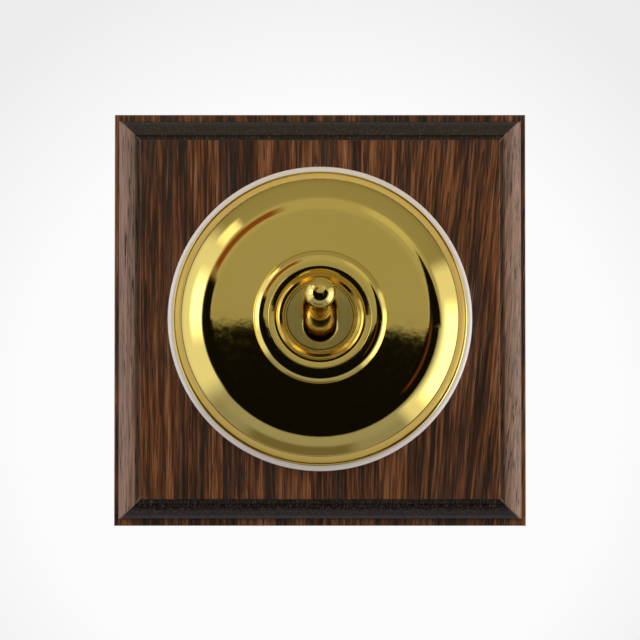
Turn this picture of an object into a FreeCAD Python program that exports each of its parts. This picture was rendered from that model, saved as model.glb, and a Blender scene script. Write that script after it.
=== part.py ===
import FreeCAD, Part
import math
import os
from types import SimpleNamespace

import Sketcher

# Brass dolly switch on a moulded oak plinth, in millimetres.
# World frame: X to the right, +Z up the wall, the front faces -Y, and the origin is the middle of
# the plinth's back, on the wall. Each piece is drawn lying on a bench, x right, y up the wall and
# z out of the wall, and is then stood up against the wall at its own height above it.

# Driving dimensions, each written once. Heights and depths run out from the wall.
SIZES = {
    # oak plinth
    "plinth_side": 95.0, "plinth_depth": 16.0, "listel_sides": 1.0, "listel_ends": 1.6,
    "moulding_width": 6.2, "ovolo_drop": 4.6, "quirk_width": 0.9, "quirk_depth": 1.3,
    "crest_drop": 0.6, "cable_hole_step": 2.0, "wall_screw_spacing": 60.3,
    # glazed china base
    "ledge_width": 1.4, "ledge_height": 6.5, "spigot_height": 2.5, "china_edge": 1.3,
    "china_arris": 0.6, "opening_room": 1.5, "china_wall": 4.0, "recess_depth": 3.0,
    "base_screw_angle": 45.0,
    # spun dome
    "dome_radius": 33.3, "dome_wall": 1.2, "rim_land": 0.8, "skirt_radius": 40.1,
    "skirt_foot_turn": 23.5, "skirt_top_turn": 13.0, "bend_radius": 1.6, "flank_turn": 36.0,
    "flank_radius": 12.7, "shoulder_turn": 60.0, "shoulder_radius": 7.0, "plateau_slope": 4.0,
    "boss_radius": 14.9, "boss_height": 1.5, "boss_flat_radius": 12.0, "dome_fit": 0.25,
    # ring nut, bush and washer
    "bush_radius": 7.4, "bush_bore": 5.75, "bush_flange_radius": 8.8, "bush_flange": 1.4,
    "face_thickness": 1.0, "face_sink": 0.9, "slot_width": 7.35, "slot_length": 11.2,
    "slot_chamfer": 0.35, "nut_radius": 11.3, "nut_flange": 1.35, "nut_lip": 0.25, "nut_brim": 1.35,
    "nut_dish": 0.32, "nut_ring_radius": 1.5, "nut_height": 3.1, "nut_inner_land": 0.45,
    "nut_recess": 0.5, "nut_seat": 1.4, "washer_thickness": 0.8, "thread_fit": 0.05,
    # dolly
    "ball_radius": 4.9, "pivot_sink": 4.6, "knob_radius": 3.45, "knob_reach": 15.5,
    "neck_radius": 1.82, "collar_radius": 2.05, "collar_length": 0.85, "tail_radius": 3.2,
    "tail_length": 10.5, "tail_bore_depth": 6.5, "dolly_tilt": 18.0, "pin_radius": 1.0,
    "pin_half_length": 7.3, "pin_fit": 0.05,
    # plunger and spring
    "plunger_radius": 1.6, "plunger_reach": 16.5, "plunger_length": 8.5, "plunger_fit": 0.08,
    "spring_radius": 1.1, "spring_wire": 0.18, "spring_turns": 4.0,
    # rocker
    "rocker_tilt": 12.0, "pivot_spacing": 17.5, "cradle_radius": 5.3, "plunger_gap": 0.06,
    "rocker_sheet": 0.8, "rocker_width": 5.0, "arm_rise": 3.43, "arm_reach": 7.9,
    "contact_reach": 6.8, "contact_radius": 1.1, "contact_thickness": 0.5, "contact_gap": 0.1,
    "fulcrum_gap": 0.08, "fulcrum_round": 0.3,
    # terminals
    "strip_drop": 0.9, "strip_thickness": 1.0, "strip_width": 3.0, "terminal_width": 5.8,
    "terminal_height": 7.0, "terminal_inner": 5.5, "terminal_outer": 12.5, "wire_bore_radius": 1.6,
    "terminal_offset": 6.4, "wire_bore_rise": 3.0, "well_fit": 0.1,
    # moulded body and cover
    "body_end": 0.5, "body_wall": 0.8, "terminal_head_sink": 0.15, "body_corner": 2.0,
    "joint_rise": 6.5, "rocker_room": 0.6, "cavity_half_width": 5.2, "cavity_half_height": 6.8,
    "flange_fit": 0.15, "body_screw_circle": 10.8, "body_screw_angle": 36.0,
    # yoke
    "yoke_sheet": 1.5, "yoke_radius": 12.3, "leg_room": 0.9, "yoke_half_width": 5.0,
    "foot_edge": 0.6, "yoke_bend": 0.8, "nut_spacing": 0.5,
    # screws and nuts
    "screw_fit": 0.1, "wall_screw_radius": 1.75, "wall_shank_radius": 1.55, "wall_head_radius": 3.4,
    "wall_head_height": 2.2, "wall_screw_reach": 14.2, "wall_head_sink": 0.2, "base_shank_radius": 1.6,
    "base_head_radius": 3.1, "base_head_height": 2.0, "base_screw_length": 19.0,
    "machine_radius": 1.5, "machine_head_radius": 2.7, "machine_head_height": 1.9,
    "machine_screw_length": 12.8, "nut_across_corners": 6.2, "nut_thickness": 2.4,
    "body_shank_radius": 1.25, "body_head_radius": 2.2, "body_head_height": 1.6,
    "earth_shank_radius": 1.5, "earth_head_radius": 2.7, "earth_head_height": 2.0,
    "earth_washer_side": 5.6, "earth_washer_sheet": 1.0,
    "terminal_shank_radius": 1.5, "terminal_head_radius": 2.5, "terminal_head_height": 1.5,
    "head_edge": 0.3, "drive_slot": 0.8, "screw_point": 3.0, "point_radius": 0.2, "end_chamfer": 0.4,
}

doc = FreeCAD.newDocument("brass_dolly_switch")
sheet = doc.addObject("Spreadsheet::Sheet", "sizes")
for row, (name, value) in enumerate(SIZES.items(), start=1):
    sheet.set(f"A{row}", name)
    sheet.set(f"B{row}", str(value))
    sheet.setAlias(f"B{row}", name)
doc.recompute()


class Size:
    """A size as the sheet's own formula, with its present value beside it."""

    def __init__(self, text, value):
        self.text = text
        self.value = value

    def combined(self, sign, other, value):
        return Size(f"({self.text} {sign} {sized(other).text})", value)

    def __add__(self, other):
        return self.combined("+", other, self.value + sized(other).value)

    def __sub__(self, other):
        return self.combined("-", other, self.value - sized(other).value)

    def __mul__(self, other):
        return self.combined("*", other, self.value * sized(other).value)

    def __truediv__(self, other):
        return self.combined("/", other, self.value / sized(other).value)

    def __radd__(self, other):
        return sized(other) + self

    def __rsub__(self, other):
        return sized(other) - self

    def __rmul__(self, other):
        return sized(other) * self

    def __neg__(self):
        return sized(0) - self


def sized(value):
    """A plain number as a Size."""
    return value if isinstance(value, Size) else Size(str(value), value)


def cosine(angle):
    return Size(f"cos({angle.text} * 1 deg)", math.cos(math.radians(angle.value)))


def sine(angle):
    return Size(f"sin({angle.text} * 1 deg)", math.sin(math.radians(angle.value)))


def root(square):
    return Size(f"sqrt({square.text})", math.sqrt(square.value))


size = SimpleNamespace(**{name: Size(f"sizes.{name}", value) for name, value in SIZES.items()})


CLOSE = 1e-6


class Outline:
    """A closed outline of straight lines and arcs, each corner tied to the sheet."""

    def __init__(self, x, y):
        self.corners = [(sized(x), sized(y))]
        self.edges = []

    def line(self, x, y):
        self.corners.append((sized(x), sized(y)))
        self.edges.append(None)
        return self

    def arc(self, x, y, radius, clockwise=False):
        self.corners.append((sized(x), sized(y)))
        self.edges.append((sized(radius), clockwise))
        return self

    def draw(self, sketch):
        """Adds the outline to the sketch, closed by a line where it doesn't end at its start."""
        points = [FreeCAD.Vector(x.value, y.value, 0) for x, y in self.corners]
        edges = self.edges + [None]
        if points[0].isEqual(points[-1], CLOSE):
            points.pop()
            edges.pop()
        ends = []
        for index, edge in enumerate(edges):
            start = points[index]
            finish = points[(index + 1) % len(points)]
            if edge is None:
                ends.append((sketch.addGeometry(Part.LineSegment(start, finish), False), 1, 2))
            else:
                radius, clockwise = edge
                curve = sketch.addGeometry(arc_between(start, finish, radius.value, clockwise), False)
                ends.append((curve, 2, 1) if clockwise else (curve, 1, 2))
                bound(sketch, Sketcher.Constraint("Radius", curve, radius.value), radius)
        for index, (curve, first, last) in enumerate(ends):
            following, start_point, _ = ends[(index + 1) % len(ends)]
            sketch.addConstraint(Sketcher.Constraint("Coincident", curve, last, following, start_point))
            pin_point(sketch, curve, first, *self.corners[index])


def arc_between(start, finish, radius, clockwise):
    """The shorter arc of the given radius from one point to another."""
    if clockwise:
        start, finish = finish, start
    chord = finish - start
    rise = math.sqrt(max(radius ** 2 - (chord.Length / 2) ** 2, 0))
    middle = (start + finish) / 2 + FreeCAD.Vector(-chord.y, chord.x, 0).normalize() * rise
    angles = [math.atan2(point.y - middle.y, point.x - middle.x) for point in (start, finish)]
    return Part.ArcOfCircle(Part.Circle(middle, FreeCAD.Vector(0, 0, 1), radius), *angles)


def bound(sketch, constraint, value):
    """Adds a constraint and ties it to its formula."""
    index = sketch.addConstraint(constraint)
    sketch.setExpression(f"Constraints[{index}]", value.text)


def pin_point(sketch, curve, point, x, y):
    """Fixes one point of a curve, measured from the sketch's origin."""
    for kind, axis, value in (("DistanceX", -2, x), ("DistanceY", -1, y)):
        if value.text == "0":
            sketch.addConstraint(Sketcher.Constraint("PointOnObject", curve, point, axis))
        else:
            bound(sketch, Sketcher.Constraint(kind, -1, 1, curve, point, value.value), value)


def new_body(label):
    body = doc.addObject("PartDesign::Body", label)
    body.Label = label
    return body


def new_sketch(body, plane, lift=None):
    """A sketch on one of the body's own planes, lifted off it if asked."""
    sketch = body.newObject("Sketcher::SketchObject", f"{body.Name}_sketch")
    origin_planes = {feature.Role: feature for feature in body.Origin.OriginFeatures}
    sketch.AttachmentSupport = [(origin_planes[plane], "")]
    sketch.MapMode = "FlatFace"
    if lift is not None:
        sketch.setExpression("AttachmentOffset.Base.z", sized(lift).text)
    return sketch


def turn(body, outline):
    """Turns a half section, drawn as radius and height, about the body's own axis."""
    sketch = new_sketch(body, "XZ_Plane")
    outline.draw(sketch)
    feature = body.newObject("PartDesign::Revolution", f"{body.Name}_turned")
    feature.Profile = sketch
    feature.ReferenceAxis = (sketch, ["V_Axis"])
    feature.Angle = 360
    return feature


def pad(body, plane, outlines, length, lift=None, midplane=False):
    """Thickens outlines drawn on a plane."""
    sketch = new_sketch(body, plane, lift)
    for outline in outlines:
        outline.draw(sketch)
    feature = body.newObject("PartDesign::Pad", f"{body.Name}_pad")
    feature.Profile = sketch
    feature.Midplane = midplane
    feature.setExpression("Length", sized(length).text)
    return feature


def pocket(body, plane, outlines, length, lift=None, midplane=False, taper=None):
    """Cuts outlines drawn on a plane, back into the body, tapering inwards if asked."""
    sketch = new_sketch(body, plane, lift)
    for outline in outlines:
        outline.draw(sketch)
    feature = body.newObject("PartDesign::Pocket", f"{body.Name}_pocket")
    feature.Profile = sketch
    feature.Midplane = midplane
    feature.setExpression("Length", sized(length).text)
    if taper is not None:
        feature.TaperAngle = taper
    return feature


def add_solid(body, kind, at, along_x=False, **dimensions):
    """Adds or cuts a plain cylinder, cone, box or prism with its corner or centre at a point."""
    feature = body.newObject(f"PartDesign::{kind}", f"{body.Name}_{kind}")
    if along_x:
        feature.Placement.Rotation = FreeCAD.Rotation(FreeCAD.Vector(0, 1, 0), 90)
    for name, value in dimensions.items():
        feature.setExpression(name, sized(value).text)
    for axis, value in zip("xyz", at):
        feature.setExpression(f"Placement.Base.{axis}", sized(value).text)
    return feature


def drill(body, radius, depth, x, y, z, along_x=False):
    """Drills a round hole from a point, upwards or along x."""
    return add_solid(body, "SubtractiveCylinder", (x, y, z), along_x, Radius=radius, Height=depth)


def add_block(body, kind, low, high):
    """Adds or cuts a box given by its two opposite corners."""
    low = [sized(value) for value in low]
    length, width, height = (sized(far) - near for near, far in zip(low, high))
    return add_solid(body, kind, low, Length=length, Width=width, Height=height)


def countersink(body, shank, head, head_height, x, y, top):
    """Widens a screw's hole to seat its countersunk head flush with the height given."""
    wide = head + size.screw_fit
    add_solid(body, "SubtractiveCone", (x, y, top - head_height), Radius1=shank + size.screw_fit,
              Radius2=wide, Height=head_height - size.head_edge)
    drill(body, wide, size.head_edge * 2, x, y, top - size.head_edge)


def stand_up(body, x=0, y=0, z=0, lean=0):
    """Stands a bench piece against the wall: z out from the wall, y up it, leaning if asked."""
    body.Placement = FreeCAD.Placement(FreeCAD.Vector(), FreeCAD.Rotation(FreeCAD.Vector(1, 0, 0), 90))
    body.setExpression("Placement.Base.x", sized(x).text)
    body.setExpression("Placement.Base.y", (-sized(z)).text)
    body.setExpression("Placement.Base.z", sized(y).text)
    body.setExpression("Placement.Rotation.Angle", (90 + sized(lean)).text)
    return body


def group(label, bodies):
    """Several like pieces kept as one named set of separate solids."""
    members = doc.addObject("Part::Compound", label)
    members.Label = label
    members.Links = bodies
    return members


def rounded_block(half_width, half_height, radius):
    """A rectangle about the origin with round corners."""
    outline = Outline(radius - half_width, -half_height)
    outline.line(half_width - radius, -half_height).arc(half_width, radius - half_height, radius)
    outline.line(half_width, half_height - radius).arc(half_width - radius, half_height, radius)
    outline.line(radius - half_width, half_height).arc(-half_width, half_height - radius, radius)
    return outline.line(-half_width, radius - half_height).arc(radius - half_width, -half_height, radius)


def slot_outline(half_width, half_length):
    """An upright slot with half-round ends, drawn about the origin."""
    straight = half_length - half_width
    outline = Outline(half_width, -straight).line(half_width, straight)
    outline.arc(0, half_length, half_width).arc(-half_width, straight, half_width)
    outline.line(-half_width, -straight)
    return outline.arc(0, -half_length, half_width).arc(half_width, -straight, half_width)


# Screws: a turned head and shank with a sawn drive slot. The head's top is at z 0 on the bench and
# the shank runs down; a screw driven from behind is turned over when it is placed.
TURNED_OVER = 180


def screw(label, shank, head, head_height, length, edge, pointed=False, plain=None):
    """The radius and lower end of a plain stretch, thinner than the thread, may be given."""
    body = new_body(label)
    neck, neck_end = plain or (shank, None)
    end = (length - size.screw_point) if pointed else (length - size.end_chamfer)
    tip = size.point_radius if pointed else shank - size.end_chamfer
    outline = Outline(0, 0).line(head, 0).line(head, -edge)
    if edge is head_height:
        outline.line(neck, -edge)
    else:
        outline.line(neck, -head_height)
    if plain:
        outline.line(neck, -neck_end).line(shank, -neck_end)
    turn(body, outline.line(shank, -end).line(tip, -length).line(0, -length))
    half_slot = size.drive_slot / 2
    add_block(body, "SubtractiveBox", (-head - 1, -half_slot, -head_height / 2), (head + 1, half_slot, 1))
    return body


# Heights above the wall, from the plinth's face to the bush's face.
china_top = size.plinth_depth + size.ledge_height + size.spigot_height
dome_seat = size.plinth_depth + size.ledge_height


# Spun dome section. A hollow skirt rises from the rim and breaks over a small bend into the flank,
# the flank rounds into the tighter shoulder, and a shallow cone rises to the raised boss. The arcs
# meet tangent, each at its own turn from level, and the inner skin's arcs share their centres.
def on_arc(centre, radius, turn_angle):
    """The point at a turn from level on an arc about a centre, as distance out and height."""
    out, height = centre
    return out + radius * cosine(turn_angle), height + radius * sine(turn_angle)


rim_top = (size.dome_radius, size.rim_land)
skirt_centre = on_arc(rim_top, size.skirt_radius, size.skirt_foot_turn)
skirt_top = on_arc(skirt_centre, -size.skirt_radius, size.skirt_top_turn)
bend_centre = on_arc(skirt_top, -size.bend_radius, size.skirt_top_turn)
flank_centre = on_arc(bend_centre, size.bend_radius - size.flank_radius, size.flank_turn)
shoulder_centre = on_arc(flank_centre, size.flank_radius - size.shoulder_radius, size.shoulder_turn)
crest_turn = 90 - size.plateau_slope
slope_rise = sine(size.plateau_slope) / cosine(size.plateau_slope)
crest_radius, crest_height = on_arc(shoulder_centre, size.shoulder_radius, crest_turn)
boss_foot = crest_height + (crest_radius - size.boss_radius) * slope_rise
dome_height = boss_foot + size.boss_height
boss_run = size.boss_radius - size.boss_flat_radius
boss_round = (boss_run * boss_run + size.boss_height * size.boss_height) / (2 * size.boss_height)

dome_top = dome_seat + dome_height
washer_base = dome_top - size.dome_wall - size.washer_thickness
yoke_base = washer_base - size.yoke_sheet
nut_top = dome_top + size.nut_height
face_height = nut_top - size.face_sink
pivot_height = face_height - size.pivot_sink
fulcrum_height = pivot_height - size.pivot_spacing
strip_top = fulcrum_height - size.strip_drop
terminal_base = strip_top - size.terminal_height
body_back = terminal_base - size.terminal_head_height - size.terminal_head_sink
body_joint = fulcrum_height + size.joint_rise

# Places across the wall, from the mechanism outwards. The moulded body is as large as its terminals
# need, the yoke's legs stand beside it, and each foot has room for the earth clamp and then a nut.
# The china's opening clears the body, its ledge stands out from the dome, its spigot fits the skirt
# at the spigot's own height, and its own screws go midway along its ring.
FLATS_TURN = 30
body_half_width = size.terminal_outer + size.body_end
body_half_height = size.terminal_offset + size.terminal_width / 2 + size.well_fit + size.body_wall
body_diagonal = root(body_half_width * body_half_width + body_half_height * body_half_height)
yoke_leg = body_half_height + size.leg_room + size.yoke_sheet
earth_screw_reach = yoke_leg + size.yoke_bend + size.earth_washer_side / 2
nut_half_flats = size.nut_across_corners / 2 * cosine(sized(FLATS_TURN))
foot_screw_reach = earth_screw_reach + size.earth_washer_side / 2 + size.nut_spacing + nut_half_flats
foot_end = foot_screw_reach + nut_half_flats + size.foot_edge
opening_radius = body_diagonal + size.opening_room
cable_hole_radius = opening_radius + size.cable_hole_step
china_radius = size.dome_radius + size.ledge_width
china_recess_radius = china_radius - size.china_wall
inner_skirt = size.skirt_radius + size.dome_wall
skirt_drop = skirt_centre[1] - size.spigot_height
spigot_radius = skirt_centre[0] - root(inner_skirt * inner_skirt - skirt_drop * skirt_drop) - size.dome_fit
base_screw_circle = (opening_radius + spigot_radius) / 2


# Oak plinth: a square block with its edge moulding run along all four sides, mitred where the runs
# meet, and a narrow quirk sunk round the face. It is bored for the cables and for the screws into
# the wall box.
OVOLO_ROUNDNESS = 0.72


def edge_waste(side, listel):
    """What the cutter takes off one edge: a flat listel, a rounded ovolo, then the face's step."""
    half, top = size.plinth_side / 2, size.plinth_depth
    above = top + size.moulding_width
    crest = top - size.crest_drop
    ovolo_run = size.moulding_width - size.quirk_width - listel
    chord = root(ovolo_run * ovolo_run + size.ovolo_drop * size.ovolo_drop)
    outline = Outline(side * (half + listel), crest - size.ovolo_drop)
    outline.line(side * (half - listel), crest - size.ovolo_drop)
    outline.arc(side * (half - listel - ovolo_run), crest, chord * OVOLO_ROUNDNESS, side < 0)
    outline.line(side * (half - size.moulding_width), crest)
    outline.line(side * (half - size.moulding_width), above)
    return outline.line(side * (half + listel), above)


def square(half):
    return Outline(-half, -half).line(half, -half).line(half, half).line(-half, half)


plinth = new_body("oak_plinth")
half_side = size.plinth_side / 2
add_block(plinth, "AdditiveBox", (-half_side, -half_side, 0), (half_side, half_side, size.plinth_depth))
for plane, listel in (("XZ_Plane", size.listel_sides), ("YZ_Plane", size.listel_ends)):
    runs = [edge_waste(side, listel) for side in (-1, 1)]
    pocket(plinth, plane, runs, size.plinth_side * 2, midplane=True)
face_half = half_side - size.moulding_width
pocket(plinth, "XY_Plane", [square(face_half + size.quirk_width), square(face_half)],
       size.quirk_depth, lift=size.plinth_depth)
drill(plinth, cable_hole_radius, size.plinth_depth, 0, 0, 0)
wall_head_top = size.plinth_depth - size.wall_head_sink
for side in (-1, 1):
    hole_x = side * size.wall_screw_spacing / 2
    drill(plinth, size.wall_screw_radius + size.screw_fit, size.plinth_depth, hole_x, 0, 0)
    countersink(plinth, size.wall_screw_radius, size.wall_head_radius, size.wall_head_height,
                hole_x, 0, wall_head_top)
base_screw_x = base_screw_circle * cosine(size.base_screw_angle)
base_screw_y = base_screw_circle * sine(size.base_screw_angle)
pilot_depth = size.base_screw_length - (china_top - size.plinth_depth)
for side in (-1, 1):
    drill(plinth, size.base_shank_radius + size.screw_fit, pilot_depth + size.screw_fit,
          side * base_screw_x, side * base_screw_y, size.plinth_depth - pilot_depth - size.screw_fit)
stand_up(plinth)

# The screws into the wall box have a plain shank through the oak and their thread behind it.
wall_screws = []
for side in (-1, 1):
    wall_screw = screw("wall_screw", size.wall_screw_radius, size.wall_head_radius,
                       size.wall_head_height, wall_head_top + size.wall_screw_reach, size.head_edge,
                       plain=(size.wall_shank_radius, wall_head_top))
    wall_screws.append(stand_up(wall_screw, side * size.wall_screw_spacing / 2, 0, wall_head_top))
group("wall_screws", wall_screws)

# China base: turned and glazed, a ledge for the dome's rim outside a low spigot that centres it,
# hollow below for the heads of the screws that hold the yoke.
china = new_body("china_base")
spigot_top = size.ledge_height + size.spigot_height
arris = size.china_arris
section = Outline(china_recess_radius, 0).line(china_radius - arris, 0)
section.arc(china_radius, arris, arris).line(china_radius, size.ledge_height - size.china_edge)
section.arc(china_radius - size.china_edge, size.ledge_height, size.china_edge)
section.line(spigot_radius, size.ledge_height).line(spigot_radius, spigot_top - arris)
section.arc(spigot_radius - arris, spigot_top, arris).line(opening_radius + arris, spigot_top)
section.arc(opening_radius, spigot_top - arris, arris).line(opening_radius, size.recess_depth)
turn(china, section.line(china_recess_radius, size.recess_depth))
for side in (-1, 1):
    x, y = side * base_screw_x, side * base_screw_y
    drill(china, size.base_shank_radius + size.screw_fit, spigot_top, x, y, 0)
    countersink(china, size.base_shank_radius, size.base_head_radius, size.base_head_height,
                x, y, spigot_top)
    drill(china, size.machine_radius + size.screw_fit, spigot_top, 0, side * foot_screw_reach, 0)
stand_up(china, z=size.plinth_depth)

base_screws = []
for side in (-1, 1):
    base_screw = screw("base_screw", size.base_shank_radius, size.base_head_radius,
                       size.base_head_height, size.base_screw_length, size.head_edge, pointed=True)
    base_screws.append(stand_up(base_screw, side * base_screw_x, side * base_screw_y, china_top))
group("base_screws", base_screws)

# Yoke: one brass strip bent into a bridge over the mechanism, its feet on the china, with a round
# plate at the top that the bush passes through.
yoke = new_body("yoke")
rise = washer_base - china_top
leg_inner, bend_outer = yoke_leg - size.yoke_sheet, size.yoke_bend + size.yoke_sheet
strip = Outline(-foot_end, size.yoke_sheet)
strip.line(-(yoke_leg + size.yoke_bend), size.yoke_sheet)
strip.arc(-yoke_leg, size.yoke_sheet + size.yoke_bend, size.yoke_bend)
strip.line(-yoke_leg, rise - bend_outer)
strip.arc(bend_outer - yoke_leg, rise, bend_outer, clockwise=True)
strip.line(yoke_leg - bend_outer, rise)
strip.arc(yoke_leg, rise - bend_outer, bend_outer, clockwise=True)
strip.line(yoke_leg, size.yoke_sheet + size.yoke_bend)
strip.arc(yoke_leg + size.yoke_bend, size.yoke_sheet, size.yoke_bend)
strip.line(foot_end, size.yoke_sheet).line(foot_end, 0)
strip.line(yoke_leg + size.yoke_bend, 0)
strip.arc(leg_inner, bend_outer, bend_outer, clockwise=True).line(leg_inner, rise - bend_outer)
strip.arc(yoke_leg - bend_outer, rise - size.yoke_sheet, size.yoke_bend)
strip.line(bend_outer - yoke_leg, rise - size.yoke_sheet)
strip.arc(-leg_inner, rise - bend_outer, size.yoke_bend).line(-leg_inner, bend_outer)
strip.arc(-(yoke_leg + size.yoke_bend), 0, bend_outer, clockwise=True).line(-foot_end, 0)
pad(yoke, "YZ_Plane", [strip], size.yoke_half_width * 2, midplane=True)
add_solid(yoke, "AdditiveCylinder", (0, 0, rise - size.yoke_sheet), Radius=size.yoke_radius,
          Height=size.yoke_sheet)
drill(yoke, size.bush_radius + size.thread_fit, rise, 0, 0, 0)
body_screw_places = [(-size.body_screw_circle, sized(0))]
for side in (-1, 1):
    body_screw_places.append((size.body_screw_circle * cosine(size.body_screw_angle),
                              side * size.body_screw_circle * sine(size.body_screw_angle)))
for x, y in body_screw_places:
    drill(yoke, size.body_shank_radius + size.thread_fit, size.yoke_sheet, x, y, rise - size.yoke_sheet)
for side in (-1, 1):
    drill(yoke, size.machine_radius + size.screw_fit, size.yoke_sheet * 2, 0,
          side * foot_screw_reach, -size.yoke_sheet / 2)
drill(yoke, size.earth_shank_radius + size.thread_fit, size.yoke_sheet * 2, 0,
      -earth_screw_reach, -size.yoke_sheet / 2)
stand_up(yoke, z=china_top)

mechanism_screws, mechanism_nuts = [], []
recess_roof = size.plinth_depth + size.recess_depth
for side in (-1, 1):
    machine_screw = screw("mechanism_screw", size.machine_radius, size.machine_head_radius,
                          size.machine_head_height, size.machine_screw_length, size.machine_head_height)
    mechanism_screws.append(stand_up(machine_screw, 0, side * foot_screw_reach,
                                     recess_roof - size.machine_head_height, TURNED_OVER))
    nut = new_body("mechanism_nut")
    prism = add_solid(nut, "AdditivePrism", (0, 0, 0), Circumradius=size.nut_across_corners / 2,
                      Height=size.nut_thickness)
    prism.Polygon = 6
    drill(nut, size.machine_radius + size.thread_fit, size.nut_thickness, 0, 0, 0)
    mechanism_nuts.append(stand_up(nut, 0, side * foot_screw_reach, china_top + size.yoke_sheet))
group("mechanism_screws", mechanism_screws)
group("mechanism_nuts", mechanism_nuts)

# Earth clamp on the lower foot: a square washer under the head of its own screw.
earth_washer = new_body("earth_washer")
half_washer = size.earth_washer_side / 2
add_block(earth_washer, "AdditiveBox", (-half_washer, -half_washer, 0),
          (half_washer, half_washer, size.earth_washer_sheet))
drill(earth_washer, size.earth_shank_radius + size.screw_fit, size.earth_washer_sheet, 0, 0, 0)
washer_seat = china_top + size.yoke_sheet
stand_up(earth_washer, 0, -earth_screw_reach, washer_seat)
earth_screw_length = size.earth_head_height + size.earth_washer_sheet + size.yoke_sheet
earth_screw = screw("earth_screw", size.earth_shank_radius, size.earth_head_radius,
                    size.earth_head_height, earth_screw_length, size.earth_head_height)
stand_up(earth_screw, 0, -earth_screw_reach, china_top + earth_screw_length)

# Fibre washer between the yoke's plate and the underside of the dome's boss.
fibre_washer = new_body("fibre_washer")
add_solid(fibre_washer, "AdditiveCylinder", (0, 0, 0), Radius=size.boss_flat_radius,
          Height=size.washer_thickness)
drill(fibre_washer, size.bush_radius + size.dome_fit, size.washer_thickness, 0, 0, 0)
stand_up(fibre_washer, z=washer_base)

# Dome: spun from sheet and polished, open at the back, its rim on the china's ledge.
dome = new_body("brass_dome")
wall = size.dome_wall
inner_bend, inner_flank = size.bend_radius - wall, size.flank_radius - wall
inner_shoulder = size.shoulder_radius - wall
inner_skirt_foot = on_arc(skirt_centre, -inner_skirt, size.skirt_foot_turn)
inner_crest, inner_crest_height = on_arc(shoulder_centre, inner_shoulder, crest_turn)
boss_roof = dome_height - wall
boss_roof_radius = size.boss_flat_radius + wall / 2
boss_inner_foot = ((boss_roof + boss_roof_radius - inner_crest_height - inner_crest * slope_rise)
                   / (1 - slope_rise))
hole = size.bush_radius + size.dome_fit
section = Outline(inner_skirt_foot[0], 0).line(size.dome_radius, 0).line(*rim_top)
section.arc(*skirt_top, size.skirt_radius, clockwise=True)
section.arc(*on_arc(bend_centre, size.bend_radius, size.flank_turn), size.bend_radius)
section.arc(*on_arc(flank_centre, size.flank_radius, size.shoulder_turn), size.flank_radius)
section.arc(crest_radius, crest_height, size.shoulder_radius).line(size.boss_radius, boss_foot)
section.arc(size.boss_flat_radius, dome_height, boss_round).line(hole, dome_height)
section.line(hole, boss_roof).line(boss_roof_radius, boss_roof)
section.line(boss_inner_foot, inner_crest_height + (inner_crest - boss_inner_foot) * slope_rise)
section.line(inner_crest, inner_crest_height)
section.arc(*on_arc(shoulder_centre, inner_shoulder, size.shoulder_turn), inner_shoulder, clockwise=True)
section.arc(*on_arc(flank_centre, inner_flank, size.flank_turn), inner_flank, clockwise=True)
section.arc(*on_arc(bend_centre, inner_bend, size.skirt_top_turn), inner_bend, clockwise=True)
turn(dome, section.arc(*inner_skirt_foot, inner_skirt))
stand_up(dome, z=dome_seat)

# Bush: carries the dolly's pin and ends in the slotted face. Its flange is held under the yoke.
bush = new_body("bush")
bush_base = yoke_base - size.bush_flange
bush_length = face_height - bush_base
face_base = bush_length - size.face_thickness
section = Outline(size.bush_bore, 0).line(size.bush_flange_radius, 0)
section.line(size.bush_flange_radius, size.bush_flange).line(size.bush_radius, size.bush_flange)
section.line(size.bush_radius, bush_length).line(0, bush_length).line(0, face_base)
turn(bush, section.line(size.bush_bore, face_base))
slot_half_width, slot_half_length = size.slot_width / 2, size.slot_length / 2
pocket(bush, "XY_Plane", [slot_outline(slot_half_width, slot_half_length)], size.face_thickness * 2,
       lift=bush_length + size.face_thickness / 2)
chamfer = size.slot_chamfer
pocket(bush, "XY_Plane", [slot_outline(slot_half_width + chamfer, slot_half_length + chamfer)],
       chamfer, lift=bush_length, taper=-45)
drill(bush, size.pin_radius, size.bush_radius * 2, -size.bush_radius, 0, pivot_height - bush_base, True)
stand_up(bush, z=bush_base)

# Ring nut: a flange dished inwards from its lip, then a half-round ring about the bush's end.
ring_nut = new_body("ring_nut")
lip = size.nut_lip
ring_outer = size.nut_radius - size.nut_brim
recess_radius = size.bush_radius + size.nut_recess
ring_foot = size.nut_height - size.nut_ring_radius
land_radius = recess_radius + size.nut_inner_land
thread = size.bush_radius + size.thread_fit
section = Outline(thread, 0).line(size.nut_radius, 0).line(size.nut_radius, size.nut_flange - lip)
section.arc(size.nut_radius - lip, size.nut_flange, lip)
section.line(ring_outer, size.nut_flange - size.nut_dish).line(ring_outer, ring_foot)
section.arc(ring_outer - size.nut_ring_radius, size.nut_height, size.nut_ring_radius)
section.line(land_radius, size.nut_height)
section.line(recess_radius, size.nut_height - size.nut_inner_land)
turn(ring_nut, section.line(recess_radius, size.nut_seat).line(thread, size.nut_seat))
stand_up(ring_nut, z=dome_top)

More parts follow.
